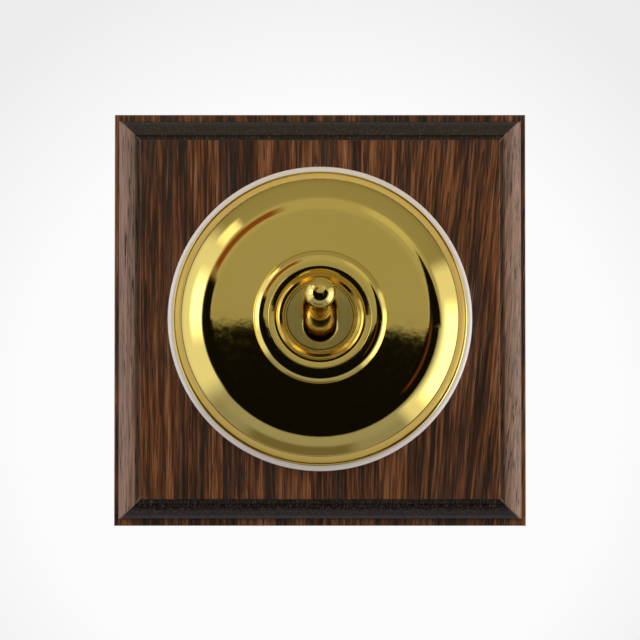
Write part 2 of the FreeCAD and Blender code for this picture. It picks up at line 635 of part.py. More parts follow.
# Dolly: turned in one piece, knob, neck, ball and tail, about the axis of its own lean. It is
# drilled up its tail for the plunger and across its ball for the pin.
dolly = new_body("dolly")
ball = size.ball_radius
collar_base = root(ball * ball - size.collar_radius * size.collar_radius)
tail_neck = root(ball * ball - size.tail_radius * size.tail_radius)
knob_base = size.knob_reach - root(size.knob_radius * size.knob_radius
                                   - size.neck_radius * size.neck_radius)
section = Outline(0, -size.tail_length).line(size.tail_radius, -size.tail_length)
section.line(size.tail_radius, -tail_neck).arc(ball, 0, ball)
section.arc(size.collar_radius, collar_base, ball)
section.line(size.collar_radius, collar_base + size.collar_length)
section.line(size.neck_radius, collar_base + size.collar_length).line(size.neck_radius, knob_base)
section.arc(size.knob_radius, size.knob_reach, size.knob_radius)
turn(dolly, section.arc(0, size.knob_reach + size.knob_radius, size.knob_radius))
drill(dolly, size.plunger_radius + size.plunger_fit, size.tail_bore_depth, 0, 0, -size.tail_length)
drill(dolly, size.pin_radius + size.pin_fit, ball * 2, -ball, 0, 0, True)
stand_up(dolly, z=pivot_height, lean=-size.dolly_tilt)

dolly_pin = new_body("dolly_pin")
add_solid(dolly_pin, "AdditiveCylinder", (-size.pin_half_length, 0, 0), True, Radius=size.pin_radius,
          Height=size.pin_half_length * 2)
stand_up(dolly_pin, z=pivot_height)

# Plunger: moulded, with a round nose, sliding in the dolly's tail and pushed out by its spring.
plunger = new_body("plunger")
nose = size.plunger_radius
section = Outline(0, -size.plunger_reach).arc(nose, nose - size.plunger_reach, nose)
shank_top = size.plunger_length - size.plunger_reach
turn(plunger, section.line(nose, shank_top).line(0, shank_top))
stand_up(plunger, z=pivot_height, lean=-size.dolly_tilt)

spring_room = size.tail_length - size.tail_bore_depth
spring_length = -shank_top - spring_room
coil_length = spring_length - size.spring_wire * 2
spring_line = doc.addObject("Part::Helix", "spring_line")
spring_line.setExpression("Radius", size.spring_radius.text)
spring_line.setExpression("Height", coil_length.text)
spring_line.setExpression("Pitch", (coil_length / size.spring_turns).text)
wire_section = doc.addObject("Part::Circle", "wire_section")
wire_section.setExpression("Radius", size.spring_wire.text)
wire_section.Placement.Rotation = FreeCAD.Rotation(FreeCAD.Vector(1, 0, 0), 90)
wire_section.setExpression("Placement.Base.x", size.spring_radius.text)
spring = doc.addObject("Part::Sweep", "plunger_spring")
spring.Label = "plunger_spring"
spring.Sections = [wire_section]
spring.Spine = (spring_line, ["Edge1"])
spring.Solid = True
spring.Frenet = True
spring_seat = shank_top + size.spring_wire
stand_up(spring, y=spring_seat * sine(size.dolly_tilt),
         z=pivot_height + spring_seat * cosine(size.dolly_tilt), lean=-size.dolly_tilt)

# Rocker: a strip pressed to a cradle, whose curve the plunger's nose follows, with a flat arm each
# side. It is drawn level about its fulcrum and leans over to one contact.
rocker = new_body("rocker")
cradle_centre = size.pivot_spacing - (size.plunger_reach - nose) + size.cradle_radius
cradle_top = size.cradle_radius + nose + size.plunger_gap
cradle_under = cradle_top + size.rocker_sheet
arm_top, arm_under = size.arm_rise, size.arm_rise - size.rocker_sheet
top_depth, under_depth = cradle_centre - arm_top, cradle_centre - arm_under
cradle_edge = root(cradle_top * cradle_top - top_depth * top_depth)
cradle_corner = root(cradle_under * cradle_under - under_depth * under_depth)
profile = Outline(-size.arm_reach, arm_top).line(-cradle_edge, arm_top)
profile.arc(0, cradle_centre - cradle_top, cradle_top).arc(cradle_edge, arm_top, cradle_top)
profile.line(size.arm_reach, arm_top).line(size.arm_reach, arm_under)
profile.line(cradle_corner, arm_under)
profile.arc(0, cradle_centre - cradle_under, cradle_under, clockwise=True)
profile.arc(-cradle_corner, arm_under, cradle_under, clockwise=True)
pad(rocker, "YZ_Plane", [profile.line(-size.arm_reach, arm_under)], size.rocker_width, midplane=True)
stand_up(rocker, z=fulcrum_height, lean=size.rocker_tilt)

# Silver contacts: a button riveted under each arm, and a fixed one on each outer strip.
rocker_contacts, fixed_contacts = [], []
lean_cos, lean_sin = cosine(size.rocker_tilt), sine(size.rocker_tilt)
button_under = arm_under - size.contact_thickness
button_y = size.contact_reach * lean_cos + button_under * lean_sin
button_rise = (button_under * lean_cos - size.contact_reach * lean_sin
               - size.contact_radius * lean_sin - size.contact_gap)
for side in (-1, 1):
    button = new_body("rocker_contact")
    add_solid(button, "AdditiveCylinder", (0, side * size.contact_reach, button_under),
              Radius=size.contact_radius, Height=size.contact_thickness)
    rocker_contacts.append(stand_up(button, z=fulcrum_height, lean=size.rocker_tilt))
    fixed = new_body("fixed_contact")
    add_solid(fixed, "AdditiveCylinder", (0, 0, 0), Radius=size.contact_radius,
              Height=size.strip_drop + button_rise)
    fixed_contacts.append(stand_up(fixed, y=side * button_y, z=strip_top))
group("rocker_contacts", rocker_contacts)
group("fixed_contacts", fixed_contacts)


# Terminals: a bored brass block with a strip from its top to the contact it feeds.
def terminal(label, side):
    """A terminal block on the right or left of the mechanism, about its own height on the wall."""
    body = new_body(label)
    half_width = size.terminal_width / 2
    low, high = sorted((side * size.terminal_inner, side * size.terminal_outer), key=lambda end: end.value)
    add_block(body, "AdditiveBox", (low, -half_width, 0), (high, half_width, size.terminal_height))
    drill(body, size.wire_bore_radius, size.terminal_outer - size.terminal_inner, low, 0,
          size.wire_bore_rise, True)
    middle = side * (size.terminal_inner + size.terminal_outer) / 2
    drill(body, size.terminal_shank_radius + size.thread_fit, size.wire_bore_rise, middle, 0, 0)
    return body


def add_strip(body, side, y):
    """The strip that leaves the block's top layer and ends beyond the middle."""
    ends = (-side * size.strip_width / 2, side * (size.terminal_inner + size.strip_width))
    low, high = sorted(ends, key=lambda end: end.value)
    half_width = size.strip_width / 2
    add_block(body, "AdditiveBox", (low, y - half_width, size.terminal_height - size.strip_thickness),
              (high, y + half_width, size.terminal_height))


common = terminal("terminal_common", 1)
add_strip(common, 1, sized(0))
ridge_top = cradle_centre - cradle_under - size.fulcrum_gap + size.strip_drop + size.terminal_height
ridge, ridge_foot = size.fulcrum_round, size.strip_width / 2
ridge_profile = Outline(-ridge_foot, size.terminal_height - size.strip_thickness / 2)
ridge_profile.line(ridge_foot, size.terminal_height - size.strip_thickness / 2)
ridge_profile.line(ridge, ridge_top - ridge).arc(0, ridge_top, ridge)
ridge_profile.arc(-ridge, ridge_top - ridge, ridge)
pad(common, "YZ_Plane", [ridge_profile], size.strip_width, midplane=True)
stand_up(common, z=terminal_base)

for label, side in (("terminal_way_one", 1), ("terminal_way_two", -1)):
    way = terminal(label, -1)
    add_strip(way, -1, side * (button_y - size.terminal_offset))
    stand_up(way, y=side * size.terminal_offset, z=terminal_base)

terminal_middle = (size.terminal_inner + size.terminal_outer) / 2
terminal_places = [(terminal_middle, sized(0))]
terminal_places += [(-terminal_middle, side * size.terminal_offset) for side in (1, -1)]
pinch = size.wire_bore_rise - size.wire_bore_radius
terminal_screws = []
for x, y in terminal_places:
    clamp = screw("terminal_screw", size.terminal_shank_radius, size.terminal_head_radius,
                  size.terminal_head_height, size.terminal_head_height + pinch,
                  size.terminal_head_height)
    terminal_screws.append(stand_up(clamp, x, y, terminal_base - size.terminal_head_height, TURNED_OVER))
group("terminal_screws", terminal_screws)

# Moulded body: holds the terminals in wells open at its sides, with a deep pocket for the rocker.
switch_body = new_body("switch_body")
body_depth = body_joint - body_back
pad(switch_body, "XY_Plane", [rounded_block(body_half_width, body_half_height, size.body_corner)], body_depth)
floor = strip_top - size.strip_thickness - body_back
pocket_half_width = size.rocker_width / 2 + size.rocker_room
pocket_half_height = size.arm_reach * lean_cos + size.arm_rise * lean_sin + size.rocker_room / 2
add_block(switch_body, "SubtractiveBox", (-pocket_half_width, -pocket_half_height, floor),
          (pocket_half_width, pocket_half_height, body_depth))
fit = size.well_fit
well_half, strip_half = size.terminal_width / 2 + fit, size.strip_width / 2 + fit
well_base, well_roof = terminal_base - body_back, strip_top - body_back + fit
for (x, y), strip_y in zip(terminal_places, (sized(0), button_y, -button_y)):
    side = 1 if x.value > 0 else -1
    near, far = sorted((side * (size.terminal_inner - fit), side * body_half_width),
                       key=lambda end: end.value)
    add_block(switch_body, "SubtractiveBox", (near, y - well_half, well_base),
              (far, y + well_half, well_roof))
    near, far = sorted((sized(0), side * size.terminal_inner), key=lambda end: end.value)
    add_block(switch_body, "SubtractiveBox", (near, strip_y - strip_half, floor),
              (far, strip_y + strip_half, well_roof))
    drill(switch_body, size.terminal_head_radius + size.screw_fit, well_base, x, y, 0)
head_seat = size.body_head_height
for x, y in body_screw_places:
    drill(switch_body, size.body_shank_radius + size.screw_fit, body_depth, x, y, 0)
    drill(switch_body, size.body_head_radius + size.screw_fit, head_seat, x, y, 0)
stand_up(switch_body, z=body_back)

# Moulded cover: closes the body up to the yoke, open in the middle for the dolly's tail to swing,
# and sunk on top for the bush's flange.
body_cover = new_body("body_cover")
cover_depth = yoke_base - body_joint
pad(body_cover, "XY_Plane", [rounded_block(body_half_width, body_half_height, size.body_corner)], cover_depth)
add_block(body_cover, "SubtractiveBox", (-size.cavity_half_width, -size.cavity_half_height, 0),
          (size.cavity_half_width, size.cavity_half_height, cover_depth))
drill(body_cover, size.bush_flange_radius + size.flange_fit, size.bush_flange, 0, 0,
      cover_depth - size.bush_flange)
for x, y in body_screw_places:
    drill(body_cover, size.body_shank_radius + size.screw_fit, cover_depth, x, y, 0)
stand_up(body_cover, z=body_joint)

body_screws = []
body_screw_length = washer_base - body_back - size.screw_fit
for x, y in body_screw_places:
    long_screw = screw("body_screw", size.body_shank_radius, size.body_head_radius,
                       size.body_head_height, body_screw_length, size.body_head_height)
    body_screws.append(stand_up(long_screw, x, y, body_back, TURNED_OVER))
group("body_screws", body_screws)

doc.recompute()

# Every node is a body, the sweep or a group; bodies that a group holds are written inside it.
grouped = {member.Name for item in doc.Objects if item.TypeId == "Part::Compound" for member in item.Links}
kinds = ("PartDesign::Body", "Part::Compound", "Part::Sweep")
nodes = [item for item in doc.Objects if item.TypeId in kinds and item.Name not in grouped]
for item in doc.Objects:
    if {"Invalid", "Error"} & set(item.State):
        raise RuntimeError(f"{item.Name} did not build")
for node in nodes:
    if node.Shape.isNull() or not node.Shape.isValid():
        raise RuntimeError(f"{node.Label} has no valid shape")

os.makedirs("parts", exist_ok=True)
for node in nodes:
    node.Shape.exportStep(f"parts/{node.Label}.step")
    print(node.Label, len(node.Shape.Solids), round(node.Shape.Volume, 1))
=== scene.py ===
import math

import bmesh
import bpy
import numpy as np
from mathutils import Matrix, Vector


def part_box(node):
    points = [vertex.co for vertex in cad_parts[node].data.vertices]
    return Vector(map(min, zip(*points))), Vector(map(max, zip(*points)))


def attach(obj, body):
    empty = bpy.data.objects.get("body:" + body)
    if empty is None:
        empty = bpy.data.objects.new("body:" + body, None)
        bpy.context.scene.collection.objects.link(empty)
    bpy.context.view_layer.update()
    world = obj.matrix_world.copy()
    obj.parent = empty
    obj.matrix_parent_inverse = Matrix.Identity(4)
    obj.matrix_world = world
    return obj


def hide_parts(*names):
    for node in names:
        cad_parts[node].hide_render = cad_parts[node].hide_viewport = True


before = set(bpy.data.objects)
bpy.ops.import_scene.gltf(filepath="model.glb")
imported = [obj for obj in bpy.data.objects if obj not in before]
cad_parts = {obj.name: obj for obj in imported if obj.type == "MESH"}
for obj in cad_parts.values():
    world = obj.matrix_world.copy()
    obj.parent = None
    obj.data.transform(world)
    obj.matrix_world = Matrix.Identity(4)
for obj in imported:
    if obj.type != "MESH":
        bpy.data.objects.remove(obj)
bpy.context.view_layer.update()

# Oak plinth: a square block of dark stained oak, its edge moulding run along all four sides and
# mitred, with a narrow quirk sunk round the face. It is lacquered satin, stands with its grain
# upright, and is bored for the cables and for the screws that hold it and the china.
MM = 0.001
SMOOTH_ANGLE = math.radians(32)
MERGE = 1e-7

plinth_low, plinth_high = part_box("oak_plinth")
PLINTH_HALF = plinth_high.x / MM
PLINTH_DEPTH = -plinth_low.y / MM
LISTEL_SIDES, LISTEL_ENDS = 1.0, 1.6
OVOLO_DROP, CREST_DROP, OVOLO_ROUNDNESS = 4.6, 0.6, 0.72
QUIRK_WIDTH, QUIRK_DEPTH, QUIRK_DEPTH_ENDS, MOULDING_WIDTH = 0.9, 1.3, 0.61, 6.2
OUTER_ARRIS, INNER_ARRIS, BACK_ARRIS = 0.35, 0.22, 0.3
CABLE_HOLE, HOLE_MARGIN = 20.0, 8.0
SIDE_STEPS, OVOLO_STEPS, BORE_COLUMNS, FACE_START, CLEAR = 72, 29, 40, 1.0, 1.0
GRAIN_LEAN, GRAIN_LEAN_SPAN = 0.10, (0.0, 0.040)
LISTEL_FADE, MITRE_FADE, END_FADE = (0.1, 0.4), (-0.1, 0.1), (-0.2, -0.05)
QUIRK_FADE_ENDS, QUIRK_FADE_SIDES, EDGE_FADE = (-0.3, 0.1), (-0.2, 0.2), (-1.2, -0.8)


def eased(*corners, steps=5, closed=False):
    """A line through corners (x, y, radius). Each corner becomes the tangent arc of its radius,
    centre + radius * (sin((1 - t) turn) from + sin(t turn) to) / sin(turn), and the points of a
    straight run crowd towards both its ends as (1 - cos) / 2."""
    points = np.array([corner[:2] for corner in corners], float)
    arcs = []
    for index, (x, y, radius) in enumerate(corners):
        if radius == 0 or (not closed and index in (0, len(corners) - 1)):
            arcs.append(points[index:index + 1])
            continue
        back = points[index - 1] - points[index]
        ahead = points[(index + 1) % len(corners)] - points[index]
        back, ahead = back / np.linalg.norm(back), ahead / np.linalg.norm(ahead)
        half = math.acos(np.clip(back @ ahead, -1, 1)) / 2
        inward = (back + ahead) / np.linalg.norm(back + ahead)
        centre = points[index] + inward * radius / math.sin(half)
        first = points[index] + back * radius / math.tan(half) - centre
        last = points[index] + ahead * radius / math.tan(half) - centre
        turn = math.pi - 2 * half
        share = np.linspace(0, 1, steps + 1)[:, None]
        arcs.append(centre + (np.sin((1 - share) * turn) * first + np.sin(share * turn) * last)
                    / math.sin(turn))
    share = (1 - np.cos(np.linspace(0, math.pi, steps + 2)[1:-1, None])) / 2
    line = [arcs[0]]
    for before, after in zip(arcs, arcs[1:] + (arcs[:1] if closed else [])):
        line.append(before[-1] + (after[0] - before[-1]) * share)
        line.append(after)
    return np.concatenate(line[:-1] if closed else line)


def arc(x, y, radius, first, last, steps):
    """Points on a circle about (x, y), from one angle to another in degrees."""
    angle = np.radians(np.linspace(first, last, steps + 1))
    return np.stack([x + radius * np.cos(angle), y + radius * np.sin(angle)], axis=1)


def surface(name, points, closed=True):
    """A mesh over a grid of points in millimetres, rows by columns, with a quad between each four
    neighbours. Columns always close on themselves and rows do if asked; its doubles are merged, its
    faces turned outwards, and it is shaded smooth except at sharp edges."""
    rows, columns = points.shape[:2]
    index = np.arange(rows * columns).reshape(rows, columns)
    ahead, above = np.roll(index, -1, axis=1), np.roll(index, -1, axis=0)
    quads = np.stack([index, ahead, np.roll(above, -1, axis=1), above], axis=-1)
    quads = quads if closed else quads[:-1]
    mesh = bpy.data.meshes.new(name)
    mesh.from_pydata((points.reshape(-1, 3) * MM).tolist(), [], quads.reshape(-1, 4).tolist())
    return smoothed(mesh)


def smoothed(mesh):
    """The same mesh with its doubles merged, its faces outwards and its sharp edges marked."""
    shape = bmesh.new()
    shape.from_mesh(mesh)
    bmesh.ops.remove_doubles(shape, verts=shape.verts, dist=MERGE)
    bmesh.ops.recalc_face_normals(shape, faces=shape.faces)
    shape.to_mesh(mesh)
    shape.free()
    mesh.polygons.foreach_set("use_smooth", np.ones(len(mesh.polygons), bool))
    mesh.set_sharp_from_angle(angle=SMOOTH_ANGLE)
    return mesh


def turned(name, section, columns, closed, at=(0, 0, 0), lean=0):
    """A section of (radius, height) points carried round a circle: x = r cos t, y = -height,
    z = r sin t, then leaned about x and moved to its place, all in millimetres."""
    angle = np.linspace(0, 2 * math.pi, columns, endpoint=False)
    radius, height = section[:, :1], section[:, 1:]
    across, up = radius * np.cos(angle), radius * np.sin(angle)
    out = -height + 0 * across
    cosine, sine = math.cos(math.radians(lean)), math.sin(math.radians(lean))
    grid = np.stack([across, out * cosine - up * sine, out * sine + up * cosine], axis=-1)
    return surface(name, grid + np.array(at), closed)


def added(name, mesh):
    """An object of this mesh at the origin."""
    piece = bpy.data.objects.new(name, mesh)
    bpy.context.scene.collection.objects.link(piece)
    return piece


def bored(piece, cutters):
    """Cuts each cutter out of the piece and keeps what is left as the piece's own mesh."""
    for cutter in cutters:
        cut = piece.modifiers.new("bore", "BOOLEAN")
        cut.object = cutter
        cut.solver = "EXACT"
    bpy.context.view_layer.update()
    shown = piece.evaluated_get(bpy.context.evaluated_depsgraph_get())
    mesh = bpy.data.meshes.new_from_object(shown)
    piece.modifiers.clear()
    piece.data = smoothed(mesh)
    for cutter in cutters:
        bpy.data.objects.remove(cutter)


def screw_bore(radius, x, z, near, far, head=None, head_height=0):
    """A cutter for a screw's hole between two heights above the wall, with a countersink if the
    head's radius is given, its wide end at the far height."""
    corners = [(0, near, 0), (radius, near, 0), (radius, far, 0), (0, far, 0)]
    if head:
        corners[2:3] = [(radius, far - head_height, 0), (head, far, 0), (head, far + head_height, 0)]
        corners[-1] = (0, far + head_height, 0)
    return added("cutter", turned("cutter", eased(*corners, steps=1), BORE_COLUMNS, False,
                                  at=(x, 0, z)))


def stands_for(piece, node, finish, body="housing"):
    """The piece takes the place, body and finish of a CAD node."""
    piece.data.materials.clear()
    piece.data.materials.append(finish)
    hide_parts(node)
    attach(piece, body)


def plinth_grid():
    """Loops round the plinth, from its back edge up the side, over the listel and the ovolo, down
    and up the quirk, across the face and back down the cable hole. A loop is a rectangle with its
    corners on the mitres, or a circle met along the same rays. The ovolo's inset at a depth d is
    that of an arc through its two ends, centre - sqrt(radius^2 - (d - centre depth)^2)."""
    crest = PLINTH_DEPTH - CREST_DROP
    listel = crest - OVOLO_DROP
    quirk_inset = MOULDING_WIDTH - QUIRK_WIDTH

    def ovolo_inset(start, depth):
        run = quirk_inset - start
        chord = math.hypot(run, OVOLO_DROP)
        radius = chord * OVOLO_ROUNDNESS
        sagitta = math.sqrt(radius ** 2 - (chord / 2) ** 2)
        centre = start + run / 2 + OVOLO_DROP / chord * sagitta
        centre_depth = listel + OVOLO_DROP / 2 - run / chord * sagitta
        return centre - np.sqrt(radius ** 2 - (depth - centre_depth) ** 2)

    edge = eased((BACK_ARRIS * 2, 0, 0), (0, 0, BACK_ARRIS), (0, listel, OUTER_ARRIS),
                 (LISTEL_SIDES, listel, 0))
    flat = np.isclose(edge[:, 1], listel) & (edge[:, 0] > OUTER_ARRIS - MERGE)
    widened = OUTER_ARRIS + (edge[:, 0] - OUTER_ARRIS) * (
        (LISTEL_ENDS - OUTER_ARRIS) / (LISTEL_SIDES - OUTER_ARRIS))
    edge_ends = np.where(flat, widened, edge[:, 0])
    rise = listel + OVOLO_DROP * np.sin(np.linspace(0, math.pi / 2, OVOLO_STEPS + 1)[1:])
    quirk, quirk_ends = (
        eased((quirk_inset - INNER_ARRIS, crest, 0), (quirk_inset, crest, INNER_ARRIS / 2),
              (quirk_inset, PLINTH_DEPTH - deep, INNER_ARRIS / 2),
              (MOULDING_WIDTH, PLINTH_DEPTH - deep, INNER_ARRIS / 2),
              (MOULDING_WIDTH, PLINTH_DEPTH, INNER_ARRIS),
              (MOULDING_WIDTH + FACE_START, PLINTH_DEPTH, 0))[1:]
        for deep in (QUIRK_DEPTH, QUIRK_DEPTH_ENDS))
    inset_sides = np.concatenate([edge[:, 0], ovolo_inset(LISTEL_SIDES, rise), quirk[:, 0]])
    inset_ends = np.concatenate([edge_ends, ovolo_inset(LISTEL_ENDS, rise), quirk_ends[:, 0]])
    depth_sides = np.concatenate([edge[:, 1], rise, quirk[:, 1]])
    depth_ends = np.concatenate([edge[:, 1], rise, quirk_ends[:, 1]])

    step = np.linspace(-1, 1, SIDE_STEPS, endpoint=False)
    one = np.ones_like(step)
    square_x = np.concatenate([step, one, -step, -one])
    square_z = np.concatenate([-one, step, one, -step])
    square = np.stack([(PLINTH_HALF - inset_sides)[:, None] * square_x,
                       -np.where(np.abs(square_z) == 1, depth_ends[:, None], depth_sides[:, None]),
                       (PLINTH_HALF - inset_ends)[:, None] * square_z], axis=-1)
    ray = np.arctan2(square_z, square_x)
    hole = eased((CABLE_HOLE + HOLE_MARGIN, PLINTH_DEPTH, 0), (CABLE_HOLE, PLINTH_DEPTH, BACK_ARRIS),
                 (CABLE_HOLE, 0, BACK_ARRIS), (CABLE_HOLE + HOLE_MARGIN, 0, 0))
    round_loops = np.stack([hole[:, :1] * np.cos(ray), -hole[:, 1:] + 0 * ray,
                            hole[:, :1] * np.sin(ray)], axis=-1)
    return np.concatenate([square, round_loops])


class Shade:
    """A socket of a material's nodes. Sums and products on it add Math nodes, and node() adds any
    other node to the same material."""

    def __init__(self, tree, socket):
        self.tree = tree
        self.socket = socket

    def node(self, kind, settings, inputs, output=0):
        """Adds a node of a kind, makes its settings, fills its sockets and gives one output."""
        made = self.tree.nodes.new("ShaderNode" + kind)
        for name, value in settings.items():
            if name == "stops":
                ramp = made.color_ramp.elements
                while len(ramp) < len(value):
                    ramp.new(1)
                for stop, (position, colour) in zip(ramp, value):
                    stop.position = position
                    stop.color = (*colour, 1)
            else:
                setattr(made, name, value)
        for name, value in inputs.items():
            if isinstance(value, Shade):
                self.tree.links.new(value.socket, made.inputs[name])
            else:
                made.inputs[name].default_value = value
        return Shade(self.tree, made.outputs[output])

    def math(self, operation, *values):
        return self.node("Math", {"operation": operation}, dict(enumerate((self, *values))))

    def __add__(self, other):
        return self.math("ADD", other)

    def __radd__(self, other):
        return self.math("ADD", other)

    def __sub__(self, other):
        return self.math("SUBTRACT", other)

    def __rsub__(self, other):
        return self.node("Math", {"operation": "SUBTRACT"}, {0: other, 1: self})

    def __mul__(self, other):
        return self.math("MULTIPLY", other)

    def __rmul__(self, other):
        return self.math("MULTIPLY", other)

    def __truediv__(self, other):
        return self.math("DIVIDE", other)

    def between(self, low, high):
        """0 below low, 1 above high and a smooth step from one to the other."""
        return self.node("MapRange", {"interpolation_type": "SMOOTHSTEP"},
                         {"Value": self, "From Min": low, "From Max": high})

    def noise(self, scale, detail=2.0, stretch=(1, 1, 1), rough=0.5, warp=0.0):
        """Cloudy noise over this place, as many to the metre as its scale, drawn out if asked."""
        place = self.node("VectorMath", {"operation": "MULTIPLY"}, {0: self, 1: stretch})
        return place.node("TexNoise", {}, {"Vector": place, "Scale": scale, "Detail": detail,
                                           "Roughness": rough, "Distortion": warp})

    def ramp(self, *stops):
        return self.node("ValToRGB", {"stops": stops}, {"Fac": self})

    def mix(self, first, second):
        """This value mixes two colours; either may be a plain colour."""
        first, second = [c if isinstance(c, Shade) else (*c, 1) for c in (first, second)]
        return self.node("Mix", {"data_type": "RGBA"}, {0: self, 6: first, 7: second}, output=2)


def new_finish(name, constants):
    """A material with one Principled shader, its fixed values set on its own sockets. Gives the
    material, a function that feeds what varies to a socket, and the place on the piece."""
    material = bpy.data.materials.new(name)
    material.use_nodes = True
    tree = material.node_tree
    shader = tree.nodes["Principled BSDF"]
    for socket, value in constants.items():
        shader.inputs[socket].default_value = value

    def feed(socket, value):
        tree.links.new(value.socket, shader.inputs[socket])

    return material, feed, Shade(tree, tree.nodes.new("ShaderNodeTexCoord").outputs["Object"])


def bumped(height, distance):
    """A bump of this height, in metres where the height is one."""
    return height.node("Bump", {}, {"Height": height, "Distance": distance})


def dark_oak():
    """Upright grain in four widths, from smoky lanes to single fibres, each a noise drawn out along
    z, with dark pores and a few pale fibres. It leans in the right half, where x is read at
    x - z * lean. The side mouldings carry a painted sheen: a paler tan, streaked by the fibres, in
    place of their highlight. Those at the top and bottom are cut across the grain and took the stain
    nearly black: they lie where |z| > |x| and above the listel, or on the plinth's own ends."""
    material, feed, place = new_finish("dark_oak", {
        "IOR": 1.5, "Specular IOR Level": 0.65, "Specular Tint": (1.0, 0.78, 0.58, 1.0)})
    right, depth, height = (place.node("SeparateXYZ", {}, {"Vector": place}, axis) for axis in range(3))
    sheared = right - height * right.between(*GRAIN_LEAN_SPAN) * GRAIN_LEAN
    place = place.node("CombineXYZ", {}, {"X": sheared, "Y": depth, "Z": height})
    lanes = place.noise(210, 3, stretch=(1, 1, 0.04), rough=0.6, warp=0.5).between(0.36, 0.64)
    figure = place.noise(620, 3, stretch=(1, 1, 0.055), rough=0.65, warp=0.3).between(0.36, 0.64)
    fibre = place.noise(2400, 3, stretch=(1, 1, 0.030), rough=0.6).between(0.34, 0.66)
    tone = lanes * 0.28 + figure * 0.30 + fibre * 0.42
    grain = tone.ramp((0.05, (0.010, 0.0062, 0.0052)), (0.30, (0.026, 0.0095, 0.0045)),
                      (0.50, (0.092, 0.0275, 0.0085)), (0.72, (0.225, 0.0740, 0.0190)),
                      (1.0, (0.380, 0.1700, 0.0750)))
    smoke = place.noise(120, 3, stretch=(1, 1, 0.05), rough=0.6, warp=0.6).between(0.54, 0.66)
    grain = (smoke * 0.72).mix(grain, (0.020, 0.0155, 0.0150))
    pale = place.noise(2500, 2, stretch=(1, 1, 0.02)).between(0.60, 0.72)
    grain = (pale * 0.60).mix(grain, (0.300, 0.160, 0.085))
    pores = place.noise(3100, 2, stretch=(1, 1, 0.045), rough=0.55).between(0.58, 0.67)
    grain = (pores * 0.90).mix(grain, (0.0065, 0.0045, 0.0038))

    def past(value, limit, fade):
        """0 before a limit in millimetres and 1 past it, over a fade given from the limit."""
        return value.between((limit + fade[0]) * MM, (limit + fade[1]) * MM)

    across, up = right.math("ABSOLUTE"), height.math("ABSOLUTE")
    inner = PLINTH_HALF - MOULDING_WIDTH
    raised = past(0 - depth, PLINTH_DEPTH - CREST_DROP - OVOLO_DROP, LISTEL_FADE)
    ends = past(up, PLINTH_HALF, END_FADE)
    cut_across = (past(up - across, 0, MITRE_FADE) * past(up, inner, QUIRK_FADE_ENDS)
                  * raised.math("MAXIMUM", ends))
    speck = place.noise(2700, 3, rough=0.7).between(0.50, 0.72)
    end_grain = speck.mix((0.0090, 0.0068, 0.0056), (0.080, 0.0560, 0.0420))
    moulded = (past(across, inner, QUIRK_FADE_SIDES) * raised
               * (1 - past(across, PLINTH_HALF, EDGE_FADE)))
    # Painted sheen: the side mouldings are mixed towards a pale tan, streaked by the fibres, in place
    # of their highlight.
    painted_sheen = moulded * (0.32 + fibre * 0.40) * (1 - pores)
    grain = painted_sheen.mix(grain, (0.380, 0.245, 0.165))
    feed("Base Color", cut_across.mix(grain, end_grain))
    feed("Roughness", 0.36 + pores * 0.22 + fibre * 0.10 + moulded * 0.10 - cut_across * 0.14)
    feed("Normal", bumped(pores * -0.6 + fibre * 0.35 + figure * 0.15, 0.00008))
    return material


SCREW_FIT = 0.1
WALL_THREAD, WALL_HEAD, WALL_HEAD_HEIGHT = 1.75, 3.4, 2.2
wall_screw_low, wall_screw_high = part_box("wall_screws")
WALL_SCREW_X = (wall_screw_high.x - wall_screw_low.x) / 2 / MM - WALL_HEAD
WALL_HEAD_TOP = -wall_screw_low.y / MM
base_screw_low, base_screw_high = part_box("base_screws")
BASE_SHANK, BASE_HEAD, BASE_HEAD_HEIGHT = 1.6, 3.1, 2.0
BASE_SCREW_OUT = base_screw_high.x / MM - BASE_HEAD
CHINA_TOP = -base_screw_low.y / MM
BASE_SCREW_TIP = -base_screw_high.y / MM

oak_plinth = added("stained_oak_plinth", surface("stained_oak_plinth", plinth_grid()))
bored(oak_plinth, [
    screw_bore(WALL_THREAD + SCREW_FIT, side * WALL_SCREW_X, 0, -CLEAR, WALL_HEAD_TOP,
               WALL_HEAD + SCREW_FIT, WALL_HEAD_HEIGHT) for side in (-1, 1)
] + [
    screw_bore(BASE_SHANK + SCREW_FIT, side * BASE_SCREW_OUT, side * BASE_SCREW_OUT,
               BASE_SCREW_TIP - SCREW_FIT, PLINTH_DEPTH + CLEAR) for side in (-1, 1)
])
stands_for(oak_plinth, "oak_plinth", dark_oak())

# Screws into the wall box: zinc plated steel, countersunk and slotted, driven through the oak. Their
# thread starts behind the plinth and ends in a small chamfer.
THREAD_PITCH, THREAD_DEPTH = 0.6, 0.28
WALL_SHANK, WALL_HEAD_EDGE, DRIVE_SLOT, THREAD_LEAD = 1.55, 0.3, 0.8, 0.4
THREAD_STEPS, THREAD_COLUMNS, THREAD_TIP, THREAD_GROWTH = 10, 48, 0.82, 0.18
WALL_SCREW_END = -wall_screw_high.y / MM


